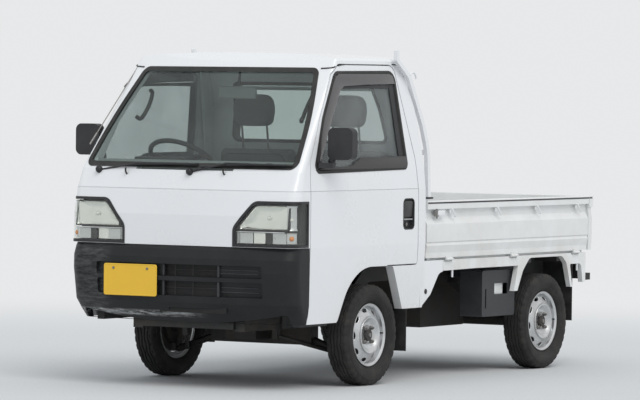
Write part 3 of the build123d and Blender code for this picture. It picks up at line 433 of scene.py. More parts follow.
def rounded(corners, grow=0.0, per=5):
    """Loop of points from corners (u, v, radius), moved outwards; the number of points doesn't depend on
    how far."""
    count = len(corners)
    area = sum(corners[i - 1][0] * corners[i][1] - corners[i][0] * corners[i - 1][1] for i in range(count))
    turn = 1 if area > 0 else -1
    moved = []
    for i in range(count):
        u, v, radius = corners[i]
        into = (Vector((u, v)) - Vector(corners[i - 1][:2])).normalized()
        out = (Vector(corners[(i + 1) % count][:2]) - Vector((u, v))).normalized()
        share = grow * turn / (1 + into.dot(out))
        convex = (into.x * out.y - into.y * out.x) * turn > 0
        size = max(radius + (grow if convex else -grow), 0.0005) if radius > 0 else 0
        moved.append((Vector((u + (into.y + out.y) * share, v - (into.x + out.x) * share)), size, radius > 0))
    loop = []
    for i in range(count):
        here, size, is_round = moved[i]
        if not is_round:
            loop.append(here)
            continue
        back = (moved[i - 1][0] - here).normalized()
        fore = (moved[(i + 1) % count][0] - here).normalized()
        half = math.acos(max(-1, min(1, back.dot(fore)))) / 2
        centre = here + (back + fore).normalized() * (size / math.sin(half))
        a = here + back * (size / math.tan(half)) - centre
        b = here + fore * (size / math.tan(half)) - centre
        for k in range(per):
            t = k / (per - 1)
            loop.append(centre + (a * (1 - t) + b * t).normalized() * size)
    return loop


def tree_of(*names):
    """Search tree over the faces of some CAD nodes."""
    joined = bmesh.new()
    for name in names:
        joined.from_mesh(NODES[name].data)
    tree = BVHTree.FromBMesh(joined)
    joined.free()
    return tree


def side_x(tree, y, z, fallback):
    """How far out a side surface lies at (y, z), from the vehicle's left."""
    hit = tree.ray_cast(Vector((1.2, y, z)), Vector((-1, 0, 0)))[0]
    return hit.x if hit else fallback


def front_y(tree, x, z, fallback):
    """Where a front surface lies at (x, z)."""
    hit = tree.ray_cast(Vector((x, -2.0, z)), Vector((0, 1, 0)))[0]
    return hit.y if hit else fallback


def strips(rows, closed=True):
    """Faces between rows of points, each row as long as the others and a loop unless closed is off."""
    return [p for row in rows for p in row], web(len(rows), len(rows[0]), closed=closed)


# Door windows: black surround, smoked rain visor, sash, lower panel, and the handle in its recess

SHELL = tree_of("door_left", "side_frames", "roof")
WINDOW = [(-1.366, 1.137, 0.020), (-1.243, 1.400, 0), (-1.086, 1.634, 0.050), (-0.500, 1.640, 0.050),
          (-0.446, 1.151, 0.020)]


def glass_x(z, out=0.0):
    """How far out the door glass lies at a height."""
    return 0.674 - 0.066 * (z - 1.130) / 0.540 + out


def on_glass(loop, low, high):
    """Slab over part of the door glass, between two distances out from it."""
    return prism(loop, lambda p: (glass_x(p[1], low), *p), lambda p: (glass_x(p[1], high), *p))


outer = rounded(WINDOW, 0.017)
inner = rounded(WINDOW, 0.002)
surface = [side_x(SHELL, p[0], p[1], glass_x(p[1], 0.010)) for p in outer]
edge = [side_x(SHELL, p[0], p[1], glass_x(p[1], 0.010)) for p in inner]
put("door_left", RUBBER, strips([
    [(x - 0.002, *p) for x, p in zip(surface, outer)],
    [(x + 0.0025, *p) for x, p in zip(surface, outer)],
    [(x + 0.004, *p) for x, p in zip(edge, inner)],
    [(glass_x(p[1], 0.0005), *p) for p in rounded(WINDOW, -0.006)],
]), mirror=True)
put("door_left", SMOKE, on_glass([
    (-1.346, 1.185), (-1.245, 1.400), (-1.118, 1.590), (-1.092, 1.622), (-1.060, 1.636), (-0.540, 1.640),
    (-0.510, 1.628), (-0.494, 1.588), (-0.780, 1.582), (-1.020, 1.572), (-1.060, 1.548), (-1.196, 1.360),
    (-1.318, 1.185),
], 0.013, 0.016), 0.001, True)
put("door_left", BLACK, on_glass([
    (-1.062, 1.550), (-1.030, 1.574), (-0.500, 1.585), (-0.500, 1.562), (-0.780, 1.563), (-1.000, 1.560),
], 0.0005, 0.006), 0.001, True)
put("door_left", BLACK, on_glass([
    (-0.548, 1.580), (-0.502, 1.590), (-0.458, 1.190), (-0.510, 1.190),
], 0.0005, 0.007), 0.0015, True)
put("door_left", SATIN, on_glass([
    (-1.352, 1.140), (-1.300, 1.152), (-1.040, 1.156), (-1.000, 1.163), (-0.925, 1.196), (-0.886, 1.203),
    (-0.452, 1.206), (-0.436, 1.196), (-0.440, 1.150), (-0.452, 1.142),
], 0.0005, 0.016), 0.004, True)

RECESS_X = 0.6735
recess = oblong(-0.485, -0.377, 0.820, 0.976, 0.022)
rim_line = [side_x(SHELL, p[0], p[1], 0.692) for p in rounded(recess, 0.006)]
put("door_left", BLACK, strips([
    [(x - 0.001, *p) for x, p in zip(rim_line, rounded(recess, 0.006))],
    [(x + 0.002, *p) for x, p in zip(rim_line, rounded(recess, 0.004))],
    [(x + 0.001, *p) for x, p in zip(rim_line, rounded(recess, -0.001))],
    [(RECESS_X, *p) for p in rounded(recess, -0.004)],
    [(RECESS_X, -0.431, 0.898) for p in rounded(recess)],
]), mirror=True)
flap = rounded([(-0.478, 0.882, 0.006), (-0.384, 0.882, 0.006), (-0.384, 0.968, 0.018),
                (-0.478, 0.968, 0.018)])
put("door_left", SATIN, prism(flap, lambda p: (0.676, *p), lambda p: (0.6905 - 0.06 * (0.97 - p[1]), *p)),
    0.002, True)
put("door_left", GREY, cuboid(0.676, 0.6885, -0.476, -0.386, 0.866, 0.873), 0.0015, True)
put("door_left", STEEL, lathe([(0, 0.010), (0.004, 0.010), (0.005, 0.008), (0.005, 0.0001)],
                              (0.675, -0.431, 0.842), (1, 0, 0), 20), mirror=True)

# Painted shade along the roof's drip rail: a black strip for its shadow line; and the plug in the sill

drip_shade_line = eased([(0, -1.112, 1.664), (0, -1.060, 1.678), (0, -0.990, 1.686), (0, -0.926, 1.690),
              (0, -0.700, 1.691), (0, -0.420, 1.689)])
# The black strip is painted shade: it stands in for the shadow line at the drip rail
put("truck", BLACK, pipe([(side_x(SHELL, y, z - 0.004, 0.62) + 0.0005, y, z) for _, y, z in drip_shade_line], 0.0034, 8),
    mirror=True)
put("truck", BLACK, lathe([(0, 0.014), (0.006, 0.014), (0.008, 0.011), (0.008, 0.0001)],
                          (0.676, -0.224, 0.478), (1, 0, 0), 20), mirror=True)

# Mirrors: glass in the rear face, and the ball under the head

glass_loop = rounded([(0.724, 1.204, 0.024), (0.848, 1.204, 0.024), (0.848, 1.348, 0.030),
                      (0.724, 1.348, 0.030)])
put("door_left", CHROME, slab(glass_loop, "y", -1.249, -1.2465), 0.0006, True)
put("door_left", BLACK, lathe([(0, 0.016), (0.010, 0.019), (0.022, 0.019), (0.030, 0.014)],
                              (0.726, -1.280, 1.172), (0, 0, 1), 20), mirror=True)

# Lamps: reflector bowl and bulb, lower band, clear corner lamp with an amber bulb

LENS = tree_of("headlamps")


def lens_y(x, z):
    """Where the lamp lens lies, from the front."""
    return front_y(LENS, min(max(x, 0.349), 0.676), min(max(z, 0.760), 0.963), -1.60)


BOWL = [(0.372, 0.834, 0.006), (0.652, 0.834, 0.006), (0.652, 0.957, 0.012), (0.462, 0.957, 0.040),
        (0.372, 0.850, 0.010)]
bowl = rounded(BOWL)
centre = Vector((0.530, 0.893))
rows = []
for s, deep in ((1.0, 0.006), (0.985, 0.011), (0.93, 0.016), (0.80, 0.0225), (0.62, 0.028), (0.42, 0.0315),
                (0.24, 0.033), (0.10, 0.0335)):
    row = [centre + (p - centre) * s for p in bowl]
    rows.append([(p.x, lens_y(*(centre + (q - centre) * min(s, 0.93))) + deep, p.y)
                 for p, q in zip(row, bowl)])
put("truck", CHROME, strips(rows), mirror=True)
put("truck", BULB, lathe([(0, 0.013), (0.004, 0.013), (0.005, 0.008), (0.018, 0.008), (0.022, 0.005),
                          (0.023, 0.0005)], (0.530, -1.563, 0.893), (0, -1, 0), 20), mirror=True)
rim_y = [lens_y(*p) + 0.0055 for p in bowl]
put("truck", BLACK, strips([
    [(p[0], y + 0.004, p[1]) for p, y in zip(rounded(BOWL, 0.006), rim_y)],
    [(p[0], y, p[1]) for p, y in zip(bowl, rim_y)],
    [(centre.x + (p[0] - centre.x) * 0.975, y + 0.001, centre.y + (p[1] - centre.y) * 0.975)
     for p, y in zip(bowl, rim_y)],
]), mirror=True)
# The lower band: ribbed plates with a dark block between them
for x0, x1, material, back in ((0.352, 0.366, SILVERED, 0.012), (0.369, 0.446, SILVERED, 0.010),
                               (0.449, 0.520, CHROME, 0.014), (0.520, 0.562, BLACK, 0.007),
                               (0.562, 0.640, SILVERED, 0.010)):
    steps = max(2, round((x1 - x0) / 0.006))
    places = [x0 + (x1 - x0) * i / steps for i in range(steps + 1)]
    rows = []
    for z, sunk in ((0.762, 0.0), (0.764, 0.004), (0.790, 0.006), (0.815, 0.004), (0.817, 0.0)):
        rows.append([(x, lens_y(x, z) + back + sunk + 0.001 * (i % 2), z) for i, x in enumerate(places)])
    put("truck", material, strips(rows, False), mirror=True)
put("truck", SILVERED, cuboid(0.350, 0.640, -1.598, -1.594, 0.8185, 0.8235), 0.001, True)


CORNER_X, CORNER_Y, CORNER_RADIUS = 0.632, -1.534, 0.050
CORNER_ROWS, CORNER_STEPS = 12, 24


def corner(angle, radius, z):
    """Point on the rounded corner of the nose."""
    turn = math.radians(angle)
    return (CORNER_X + radius * math.sin(turn), CORNER_Y - radius * math.cos(turn), z)


for z0, z1, stipple in ((0.831, 0.957, 0.0014), (0.763, 0.820, 0.0007)):
    rows = []
    for i in range(CORNER_ROWS + 1):
        z = z0 + (z1 - z0) * i / CORNER_ROWS
        radius = CORNER_RADIUS - (0.006 if 0 < i < CORNER_ROWS else 0.0)
        rows.append([corner(14 + 76 * k / CORNER_STEPS, radius - stipple * random.random(), z)
                     for k in range(CORNER_STEPS + 1)])
    put("truck", SILVERED, strips(rows, False), mirror=True)
put("truck", BLACK, prism(rounded(oblong(0.6535, 0.6590, 0.829, 0.960, 0.001)),
                          lambda p: (p[0], lens_y(*p) + 0.004, p[1]),
                          lambda p: (p[0], lens_y(*p) + 0.030, p[1])), mirror=True)
CORNER_WAY = (0.72, -0.69, 0)
put("truck", AMBER, lathe([(0, 0.006), (0.004, 0.011), (0.010, 0.013), (0.016, 0.010), (0.020, 0.003)],
                          corner(46, 0.034, 0.790), CORNER_WAY, 20), mirror=True)
put("truck", BULB, lathe([(0, 0.007), (0.005, 0.010), (0.010, 0.010), (0.015, 0.005), (0.017, 0.0005)],
                         corner(46, 0.034, 0.885), CORNER_WAY, 20), mirror=True)

# Air inlet: core behind it, wire grid, grooves of the closed panel

put("truck", CORE, cuboid(-0.110, 0.300, -1.607, -1.601, 0.395, 0.660))
BUMPER = tree_of("front_bumper")
INLETS = ((0.484, 0.556), (0.584, 0.642))
for low, high in INLETS:
    middle = (low + high) / 2 + 0.004
    put("truck", SATIN, pipe([(-0.074, -1.6165, middle), (0.260, -1.6165, middle)], 0.0015, 6))
    for x in (-0.010, 0.100):
        put("truck", SATIN, pipe([(x, -1.6160, low), (x, -1.6160, high)], 0.0015, 6))
    for drop in (0.33, 0.66):
        z = low + (high - low) * drop
        rail_line = [(x / 100, front_y(BUMPER, x / 100, z, -1.62) - 0.0012, z) for x in range(27, 50)]
        put("truck", DARK, pipe(rail_line, 0.0035, 6))
for x in (-0.075, 0.262):
    for low, high in INLETS:
        put("truck", DARK, cuboid(x - 0.006, x + 0.006, -1.630, -1.616, low - 0.002, high + 0.002), 0.002)

# Number plate: raised rim and two bolts

PLATE_Y = -1.6475
plate_loop = oblong(-0.433, -0.107, 0.4745, 0.6365, 0.012)
put("truck", PLATE, strips([
    [(p[0], PLATE_Y - proud, p[1]) for p in rounded(plate_loop, grow)]
    for grow, proud in ((0.001, 0), (-0.001, 0.0015), (-0.003, 0.0015), (-0.005, 0))
]))
for x in (-0.375, -0.165):
    put("truck", STEEL, lathe([(0, 0.007), (0.002, 0.007), (0.003, 0.005), (0.003, 0.0002)],
                              (x, PLATE_Y, 0.615), (0, -1, 0), 12))

# Wiper blades on the arms, washer jets, antenna

NOSE = tree_of("cab_glass", "window_seals", "front_panel")
for start, end in (((-0.392, 1.147), (0.088, 1.158)), ((0.110, 1.150), (0.628, 1.164))):
    line = []
    for i in range(25):
        t = i / 24
        x = start[0] + (end[0] - start[0]) * t
        z = start[1] + (end[1] - start[1]) * t + 0.006 * math.sin(math.pi * t)
        line.append((x, front_y(NOSE, x, z, -1.56) - 0.010, z))
    put("truck", BLACK, pipe(line, 0.0065, 8, flat=0.6))
    put("truck", RUBBER, pipe([(x, y + 0.007, z - 0.002) for x, y, z in line], 0.0028, 6))
    for i in (6, 12, 18):
        x, y, z = line[i]
        put("truck", BLACK, cuboid(x - 0.016, x + 0.016, y - 0.008, y + 0.001, z - 0.004, z + 0.008), 0.002)
for x, z in ((-0.545, 1.121), (0.046, 1.120)):
    y = front_y(NOSE, x, z, -1.55)
    put("truck", BLACK, lathe([(-0.002, 0.019), (0.010, 0.019), (0.020, 0.014), (0.024, 0.010),
                               (0.025, 0.001)], (x, y, z), (0, -0.93, 0.36), 20))
for x, z in ((-0.353, 1.116), (0.254, 1.124)):
    y = front_y(NOSE, x, z - 0.010, -1.56)
    put("truck", BLACK, pipe(eased([(x, y + 0.002, z - 0.014), (x, y - 0.010, z - 0.006),
                                    (x - 0.002, y - 0.012, z + 0.008), (x - 0.004, y - 0.006, z + 0.018)]),
                             0.0045, 8))
put("truck", STEEL, pipe([(-0.660, -1.430, 1.277), (-0.600, -1.096, 1.668)], 0.0028, 8))
put("truck", STEEL, pipe([(-0.664, -1.452, 1.252), (-0.655, -1.402, 1.310)], 0.0052, 8))
put("truck", BLACK, pipe([(-0.642, -1.162, 1.555), (-0.636, -1.140, 1.575)], 0.0065, 8))

# Drop sides: rope hooks, front latch, and a black strip in the rail painted as the shade of its groove; the
# same hooks and painted groove shade on the tailgate

for y in (0.032, 0.536, 0.991, 1.466):
    hook = eased([(0.688, y - 0.012, 0.917), (0.700, y - 0.011, 0.915), (0.7045, y - 0.002, 0.898),
                  (0.7045, y + 0.009, 0.882), (0.700, y + 0.020, 0.874), (0.694, y + 0.026, 0.877)])
    put("side_gate_left", WHITE, pipe(hook, 0.0036, 8), mirror=True)
    put("side_gate_left", BED_WHITE, cuboid(0.6895, 0.6935, y - 0.028, y + 0.006, 0.893, 0.917), 0.001, True)
# Black strips near the top of the rails' outer faces are painted shade that stands in for the groove in the
# rail, on the side gates and the tailgate's ends
RAIL_GROOVE_SHADE = (0.9475, 0.9555)
put("side_gate_left", BLACK, cuboid(0.6955, 0.6985, -0.235, 1.591, *RAIL_GROOVE_SHADE), 0.0008, True)
put("tailgate", BLACK, cuboid(0.6955, 0.6980, 1.599, 1.632, *RAIL_GROOVE_SHADE), 0.0008, True)
put("side_gate_left", STEEL, cuboid(0.690, 0.702, -0.165, -0.128, 0.878, 0.914), 0.003, True)
put("side_gate_left", STEEL, pipe([(0.700, -0.147, 0.868), (0.700, -0.147, 0.920)], 0.005, 10), mirror=True)
put("side_gate_left", WHITE, cuboid(0.698, 0.707, -0.142, -0.068, 0.884, 0.911), 0.003, True)
for x in (-0.50, -0.17, 0.17, 0.50):
    hook = eased([(x - 0.012, 1.636, 0.917), (x - 0.011, 1.645, 0.913), (x, 1.6468, 0.898),
                  (x + 0.010, 1.6465, 0.884), (x + 0.020, 1.643, 0.876)])
    put("tailgate", WHITE, pipe(hook, 0.0030, 8))
for x in (-0.655, 0.655):
    put("tailgate", STEEL, cuboid(x - 0.024, x + 0.024, 1.635, 1.6468, 0.848, 0.884), 0.003)
# The same painted groove shade across the tailgate's rear face
put("tailgate", BLACK, cuboid(-0.640, 0.640, 1.6425, 1.6465, *RAIL_GROOVE_SHADE), 0.0008)

# Pegs under the skirt, hook and foot of the guard frame

for y, z in ((0.075, 0.586), (1.500, 0.580)):
    put("truck", WHITE, pipe([(0.672, y, z + 0.004), (0.672, y, z - 0.040)], 0.006, 10), mirror=True)
put("truck", WHITE, pipe(eased([(0.648, -0.365, 1.634), (0.650, -0.345, 1.648), (0.651, -0.322, 1.647),
                                (0.651, -0.306, 1.630), (0.651, -0.300, 1.616)]), 0.0055, 10), mirror=True)
put("truck", BLACK, cuboid(0.628, 0.656, -0.160, -0.110, 0.972, 0.982), 0.002, True)

# Splash sheets inboard of the rear tyres, pale bottle seen through the opening of the side box

put("truck", RUBBER, cuboid(0.508, 0.511, 0.880, 1.400, 0.500, 0.626), 0.001, True)
put("truck", CLEAR_LENS, cuboid(0.570, 0.626, 0.585, 0.724, 0.420, 0.505), 0.008, segments=3)

# Tail lamps: amber and clear fields on the red ones

for x0, x1, material in ((0.402, 0.470, CLEAR_LENS), (0.472, 0.548, AMBER)):
    put("truck", material, cuboid(x0, x1, 1.6175, 1.6215, 0.503, 0.582), 0.0015, True)
for x in (0.398, 0.642):
    put("truck", BLACK, cuboid(x - 0.003, x + 0.003, 1.598, 1.621, 0.498, 0.587), 0.001, True)

# Inside the cab: sun visors, mirror, door cards, handles, gear lever, instrument hood

for x in (-0.30, 0.30):
    put("truck", GREY, cuboid(x - 0.190, x + 0.190, -1.085, -0.960, 1.640, 1.658), 0.008)
put("truck", GREY, cuboid(-0.115, 0.115, -1.060, -1.038, 1.500, 1.566), 0.009, segments=3)
put("truck", BLACK, pipe([(0, -1.040, 1.540), (0, -1.030, 1.650)], 0.007, 8))
put("truck", BLACK, pipe(eased([(0.515, -1.240, 1.400), (0.500, -1.215, 1.390), (0.492, -1.160, 1.450),
                                (0.500, -1.110, 1.520), (0.520, -1.100, 1.540)]), 0.011, 10), mirror=True)
put("door_left", GREY, cuboid(0.630, 0.6395, -1.330, -0.420, 0.760, 1.080), 0.006, True)
put("door_left", BLACK, cuboid(0.600, 0.634, -0.980, -0.640, 0.905, 0.945), 0.010, True)
put("door_left", BLACK, pipe([(0.634, -0.780, 0.840), (0.612, -0.780, 0.840), (0.610, -0.720, 0.815)],
                             0.007, 8), mirror=True)
put("truck", SATIN, cuboid(-0.440, -0.160, -1.375, -1.290, 1.150, 1.192), 0.016, segments=3)
put("truck", BLACK, pipe(eased([(-0.045, -1.060, 0.640), (-0.045, -1.080, 0.780), (-0.050, -1.070, 0.880)]),
                         0.008, 10))
put("truck", BLACK, lathe([(0, 0.010), (0.010, 0.019), (0.030, 0.022), (0.048, 0.015), (0.052, 0.001)],
                          (-0.050, -1.070, 0.872), (0, 0.1, 1), 20))
put("truck", BLACK, lathe([(0, 0.050), (0.060, 0.040), (0.090, 0.018), (0.100, 0.012)],
                          (-0.045, -1.062, 0.600), (0, -0.1, 1), 24))

# Wheels: grooved tyres and vented rims in place of the plain ones, with nuts, hub and valve

WHEEL_X, WHEEL_Z = 0.6025, 0.266
AXLE_Y = {"front": -0.759, "rear": 1.141}

# Tyre section: out from the wheel's middle, radius, and 0 for plain, 1 for tread or 2 for its shoulder
TREAD = [(-0.0505, 0.2655, 1)]
TREAD += [(-0.050 + 0.0025 * i, 0.2662 - 0.0016 * (abs(i - 20) / 20) ** 2, 1) for i in range(41)]
TREAD += [(0.0505, 0.2655, 1)]
WALL_OUT = [
    (0.0560, 0.2622, 2), (0.0605, 0.2560, 2), (0.0640, 0.2480, 2), (0.0668, 0.2390, 0), (0.0672, 0.2375, 0),
    (0.0692, 0.2365, 0), (0.0700, 0.2300, 0), (0.0701, 0.2200, 0), (0.0697, 0.2120, 0), (0.0690, 0.2110, 0),
    (0.0682, 0.2040, 0), (0.0672, 0.2030, 0), (0.0640, 0.1940, 0), (0.0590, 0.1850, 0), (0.0530, 0.1780, 0),
    (0.0500, 0.1755, 0), (0.0465, 0.1742, 0), (0.0445, 0.1700, 0), (0.0430, 0.1575, 0),
]
SECTION = [(-a, r, kind) for a, r, kind in WALL_OUT[::-1]] + TREAD + WALL_OUT
TYRE_STEPS = 216
GROOVES = (-0.030, -0.010, 0.010, 0.030)
GROOVE_HALF, GROOVE_DEEP, ZIGZAG, ZIGZAG_STEPS = 0.0026, 0.0068, 0.0032, 12
SIPE_FROM, SIPE_DEEP, SIPE_STEPS, SIPE_EVERY = 0.038, 0.0045, 2, 6


def groove(along, step, kind):
    """How deep the tread is cut at a place across it and round it."""
    if kind == 0:
        return 0.0
    sipe = SIPE_DEEP if step % SIPE_EVERY < SIPE_STEPS else 0.0
    if kind == 2:
        return sipe
    zig = ZIGZAG * (1 - 4 * abs((step % ZIGZAG_STEPS) / ZIGZAG_STEPS - 0.5))
    if any(abs(along - zig * (1 if g > 0 else -1) - g) < GROOVE_HALF for g in GROOVES):
        return GROOVE_DEEP
    return sipe if abs(along) > SIPE_FROM else 0.0


def about_axle(x, y, radius, step, steps):
    """Point at a radius from the axle at y, some steps round from the top."""
    angle = 2 * math.pi * step / steps
    return x, y + radius * math.sin(angle), WHEEL_Z + radius * math.cos(angle)


def tyre_shape(x, y):
    """The tyre's skin about its axle."""
    points = [about_axle(x + along, y, radius - groove(along, step, kind), step, TYRE_STEPS)
              for along, radius, kind in SECTION for step in range(TYRE_STEPS)]
    return points, web(len(SECTION), TYRE_STEPS, joined=True)


# Rim section, out from the wheel's middle and radius: barrel with rolled lips, and the dished disc
BARREL = [
    (0.0500, 0.1630), (0.0490, 0.1652), (0.0472, 0.1658), (0.0450, 0.1640), (0.0432, 0.1575),
    (0.0240, 0.1565), (0.0170, 0.1420), (-0.0240, 0.1420), (-0.0310, 0.1565), (-0.0432, 0.1575),
    (-0.0446, 0.1690), (-0.0470, 0.1718), (-0.0490, 0.1712), (-0.0500, 0.1685), (-0.0490, 0.1660),
    (-0.0470, 0.1640), (-0.0440, 0.1535), (-0.0350, 0.1530), (-0.0280, 0.1385), (0.0100, 0.1385),
    (0.0200, 0.1490), (0.0420, 0.1510), (0.0468, 0.1570), (0.0490, 0.1605),
]
# The disc's flat slope that holds the vents runs between these two
FLANK_OUT, FLANK_IN = (0.0225, 0.1480), (0.0475, 0.1030)
SLOPE = (FLANK_IN[0] - FLANK_OUT[0]) / (FLANK_IN[1] - FLANK_OUT[1])
DISC = [(0.0150, 0.1495), (0.0205, 0.1490)]
DISC += [(FLANK_OUT[0] - SLOPE * 0.0025 * i, FLANK_OUT[1] - 0.0025 * i) for i in range(19)]
DISC += [
    (0.0462, 0.1005), (0.0468, 0.0990), (0.0530, 0.0984), (0.0556, 0.0968), (0.0562, 0.0940),
    (0.0555, 0.0908), (0.0530, 0.0870), (0.0485, 0.0820), (0.0425, 0.0760), (0.0375, 0.0710),
    (0.0345, 0.0660), (0.0340, 0.0600), (0.0340, 0.0320),
]
BARREL_STEPS, DISC_STEPS = 120, 200
# Vents: their number, the circle they lie on, their half sizes outward and round it, and how far each
# is turned from the top in degrees
VENT_COUNT, VENT_RADIUS, VENT_IN, VENT_ROUND = 9, 0.1320, 0.0100, 0.0215
VENT_TURN = {"front": -10, "rear": -20}
# Points between these shares of a vent's half size are drawn onto its edge
VENT_CORE, VENT_REACH = 0.80, 1.22


def hoop(ring, x, y, out, steps, joined):
    """A section of (out, radius) turned about the axle at (x, y)."""
    points = [about_axle(x + out * along, y, radius, step, steps)
              for along, radius in ring for step in range(steps)]
    return points, web(len(ring), steps, joined)


def vent_place(angle, radius, turn):
    """Where a point lies about its nearest vent: the vent's angle, round it, outward, and the share that
    is 1 on the vent's edge."""
    pitch = 2 * math.pi / VENT_COUNT
    middle = round((angle - turn) / pitch) * pitch + turn
    along, outward = (angle - middle) * VENT_RADIUS, radius - VENT_RADIUS
    return middle, along, outward, math.hypot(along / VENT_ROUND, outward / VENT_IN)


def vented(x, y, out, turn):
    """The disc's skin with the vents cut; points near a vent's edge are drawn onto it."""
    points, faces = hoop(DISC, x, y, out, DISC_STEPS, False)
    inside = []
    for _, radius in DISC:
        for step in range(DISC_STEPS):
            middle, side, outward, share = vent_place(2 * math.pi * step / DISC_STEPS, radius, turn)
            if VENT_CORE < share < VENT_REACH:
                radius_now, angle_now = VENT_RADIUS + outward / share, middle + side / share / VENT_RADIUS
                along_now = FLANK_OUT[0] + SLOPE * (radius_now - FLANK_OUT[1])
                points[len(inside)] = (x + out * along_now, y + radius_now * math.sin(angle_now),
                                       WHEEL_Z + radius_now * math.cos(angle_now))
            inside.append(share < VENT_REACH)
    return points, [f for f in faces if not all(inside[i] for i in f)]


def wheel_object(kind, place, shape, material, flip=False):
    """A shape as an object on its wheel; flip turns its faces over."""
    points, faces = shape
    mesh = bpy.data.meshes.new(kind)
    mesh.from_pydata(points, [], [f[::-1] for f in faces] if flip else faces)
    mesh.validate()
    return mesh_object(kind + "_" + place, mesh, material, "wheel_" + place)


NUT_CIRCLE, NUT_SEAT = 0.050, 0.034
NUT = [(0, 0.0125), (0.003, 0.0125), (0.003, 0.0105), (0.014, 0.0105), (0.0155, 0.009), (0.0155, 0.0002)]
STUD = [(0.014, 0.006), (0.022, 0.006), (0.0225, 0.0002)]
HUB = [(0.010, 0.0318), (0.034, 0.033), (0.043, 0.032), (0.049, 0.029), (0.049, 0.0002)]
HUB_NUT = [(0.049, 0.012), (0.056, 0.011), (0.057, 0.0002)]
for place, out in (("front_left", 1), ("front_right", -1), ("rear_left", 1), ("rear_right", -1)):
    axle = place.split("_")[0]
    x, y = out * WHEEL_X, AXLE_Y[axle]
    skin = wheel_object("tread", place, tyre_shape(x, y), TYRE)
    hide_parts("tyre_" + place)
    barrel = wheel_object("barrel", place, hoop(BARREL, x, y, out, BARREL_STEPS, True), SILVER, out > 0)
    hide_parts("rim_" + place)
    disc = wheel_object("disc", place, vented(x, y, out, math.radians(VENT_TURN[axle])), SILVER, out > 0)
    thick = disc.modifiers.new("sheet", "SOLIDIFY")
    thick.thickness = 0.0032
    thick.offset = -1
    body, hub, outward = "wheel_" + place, (x, y, WHEEL_Z), (out, 0, 0)
    for k in range(4):
        angle = math.pi / 4 + k * math.pi / 2
        spot = (x + out * NUT_SEAT, y + NUT_CIRCLE * math.sin(angle), WHEEL_Z + NUT_CIRCLE * math.cos(angle))
        put(body, STEEL, lathe(NUT, spot, outward, 6))
        put(body, STEEL, lathe(STUD, spot, outward, 12))
    put(body, IRON, lathe(HUB, hub, outward, 32))
    put(body, STEEL, lathe(HUB_NUT, hub, outward, 16))
    put(body, BLACK, pipe([(x + out * 0.018, y + 0.1440, 0.2700), (x + out * 0.046, y + 0.1460, 0.2705)],
                          0.0038, 8))

# Back plates of the brakes, seen through the vents

BACK_PLATE = [(-0.022, 0.085), (-0.022, 0.1335), (-0.020, 0.1335), (-0.020, 0.085)]
for body, y in (("knuckle_left", AXLE_Y["front"]), ("truck", AXLE_Y["rear"])):
    put(body, CHASSIS, lathe(BACK_PLATE, (WHEEL_X, y, WHEEL_Z), (1, 0, 0), 48), mirror=True)

# Coil springs about the front struts

foot, top = Vector((0.548, AXLE_Y["front"], 0.160)), Vector((0.455, AXLE_Y["front"], 0.640))
lean = (top - foot).normalized()
across = Vector((0, 1, 0))
third = lean.cross(across)
COIL_STEPS, COIL_TURNS, COIL_RADIUS, COIL_FROM, COIL_LONG = 20, 6, 0.040, 0.330, 0.140
coil = []
for i in range(COIL_TURNS * COIL_STEPS + 1):
    angle = 2 * math.pi * i / COIL_STEPS
    along = COIL_FROM + COIL_LONG * i / (COIL_TURNS * COIL_STEPS)
    coil.append(foot + lean * along + (across * math.cos(angle) + third * math.sin(angle)) * COIL_RADIUS)
put("truck", CHASSIS, pipe(coil, 0.0055, 8), mirror=True)


# Seats: stuffed cushions, backs and head rests with their piping, in place of the plain ones


def apply_all(obj):
    """Replaces an object's mesh by its modified one."""
    bpy.context.view_layer.update()
    shaped = bpy.data.meshes.new_from_object(obj.evaluated_get(bpy.context.evaluated_depsgraph_get()))
    old = obj.data
    obj.modifiers.clear()
    obj.data = shaped
    bpy.data.meshes.remove(old)


PUFF_FRAMES = 20
CLOTH = dict(quality=5, mass=0.25, tension_stiffness=18, compression_stiffness=18, bending_stiffness=4,
             use_pressure=True, uniform_pressure_force=4)


def stuffed(name, shape, swell):
    """A cushion from a shape, puffed up by cloth pressure and capped at a swell."""
    piece = solid(shape)
    edges = [e for e in piece.edges if e.calc_face_angle(0) > 1.0]
    bmesh.ops.bevel(piece, geom=edges, offset=0.022, segments=4, affect="EDGES", profile=0.5)
    mesh = bpy.data.meshes.new(name)
    piece.to_mesh(mesh)
    piece.free()
    obj = bpy.data.objects.new(name, mesh)
    bpy.context.scene.collection.objects.link(obj)
    shrink = obj.modifiers.new("even", "REMESH")
    shrink.mode = "VOXEL"
    shrink.voxel_size = 0.009
    apply_all(obj)
    rest = [v.co.copy() for v in obj.data.vertices]
    cloth = obj.modifiers.new("puff", "CLOTH")
    for setting, value in CLOTH.items():
        setattr(cloth.settings, setting, value)
    cloth.settings.effector_weights.gravity = 0
    cloth.collision_settings.use_collision = False
    cloth.point_cache.frame_start = 1
    cloth.point_cache.frame_end = PUFF_FRAMES
    for frame_number in range(1, PUFF_FRAMES + 1):
        bpy.context.scene.frame_set(frame_number)
    apply_all(obj)
    bpy.context.scene.frame_set(1)
    for vertex, before in zip(obj.data.vertices, rest):
        move = vertex.co - before
        if move.length > swell:
            vertex.co = before + move.normalized() * swell
    smooth = obj.modifiers.new("smooth", "SUBSURF")
    smooth.levels = 1
    apply_all(obj)
    obj.data.polygons.foreach_set("use_smooth", [True] * len(obj.data.polygons))
    obj.data.materials.append(FABRIC)
    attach(obj, "truck")
    return obj


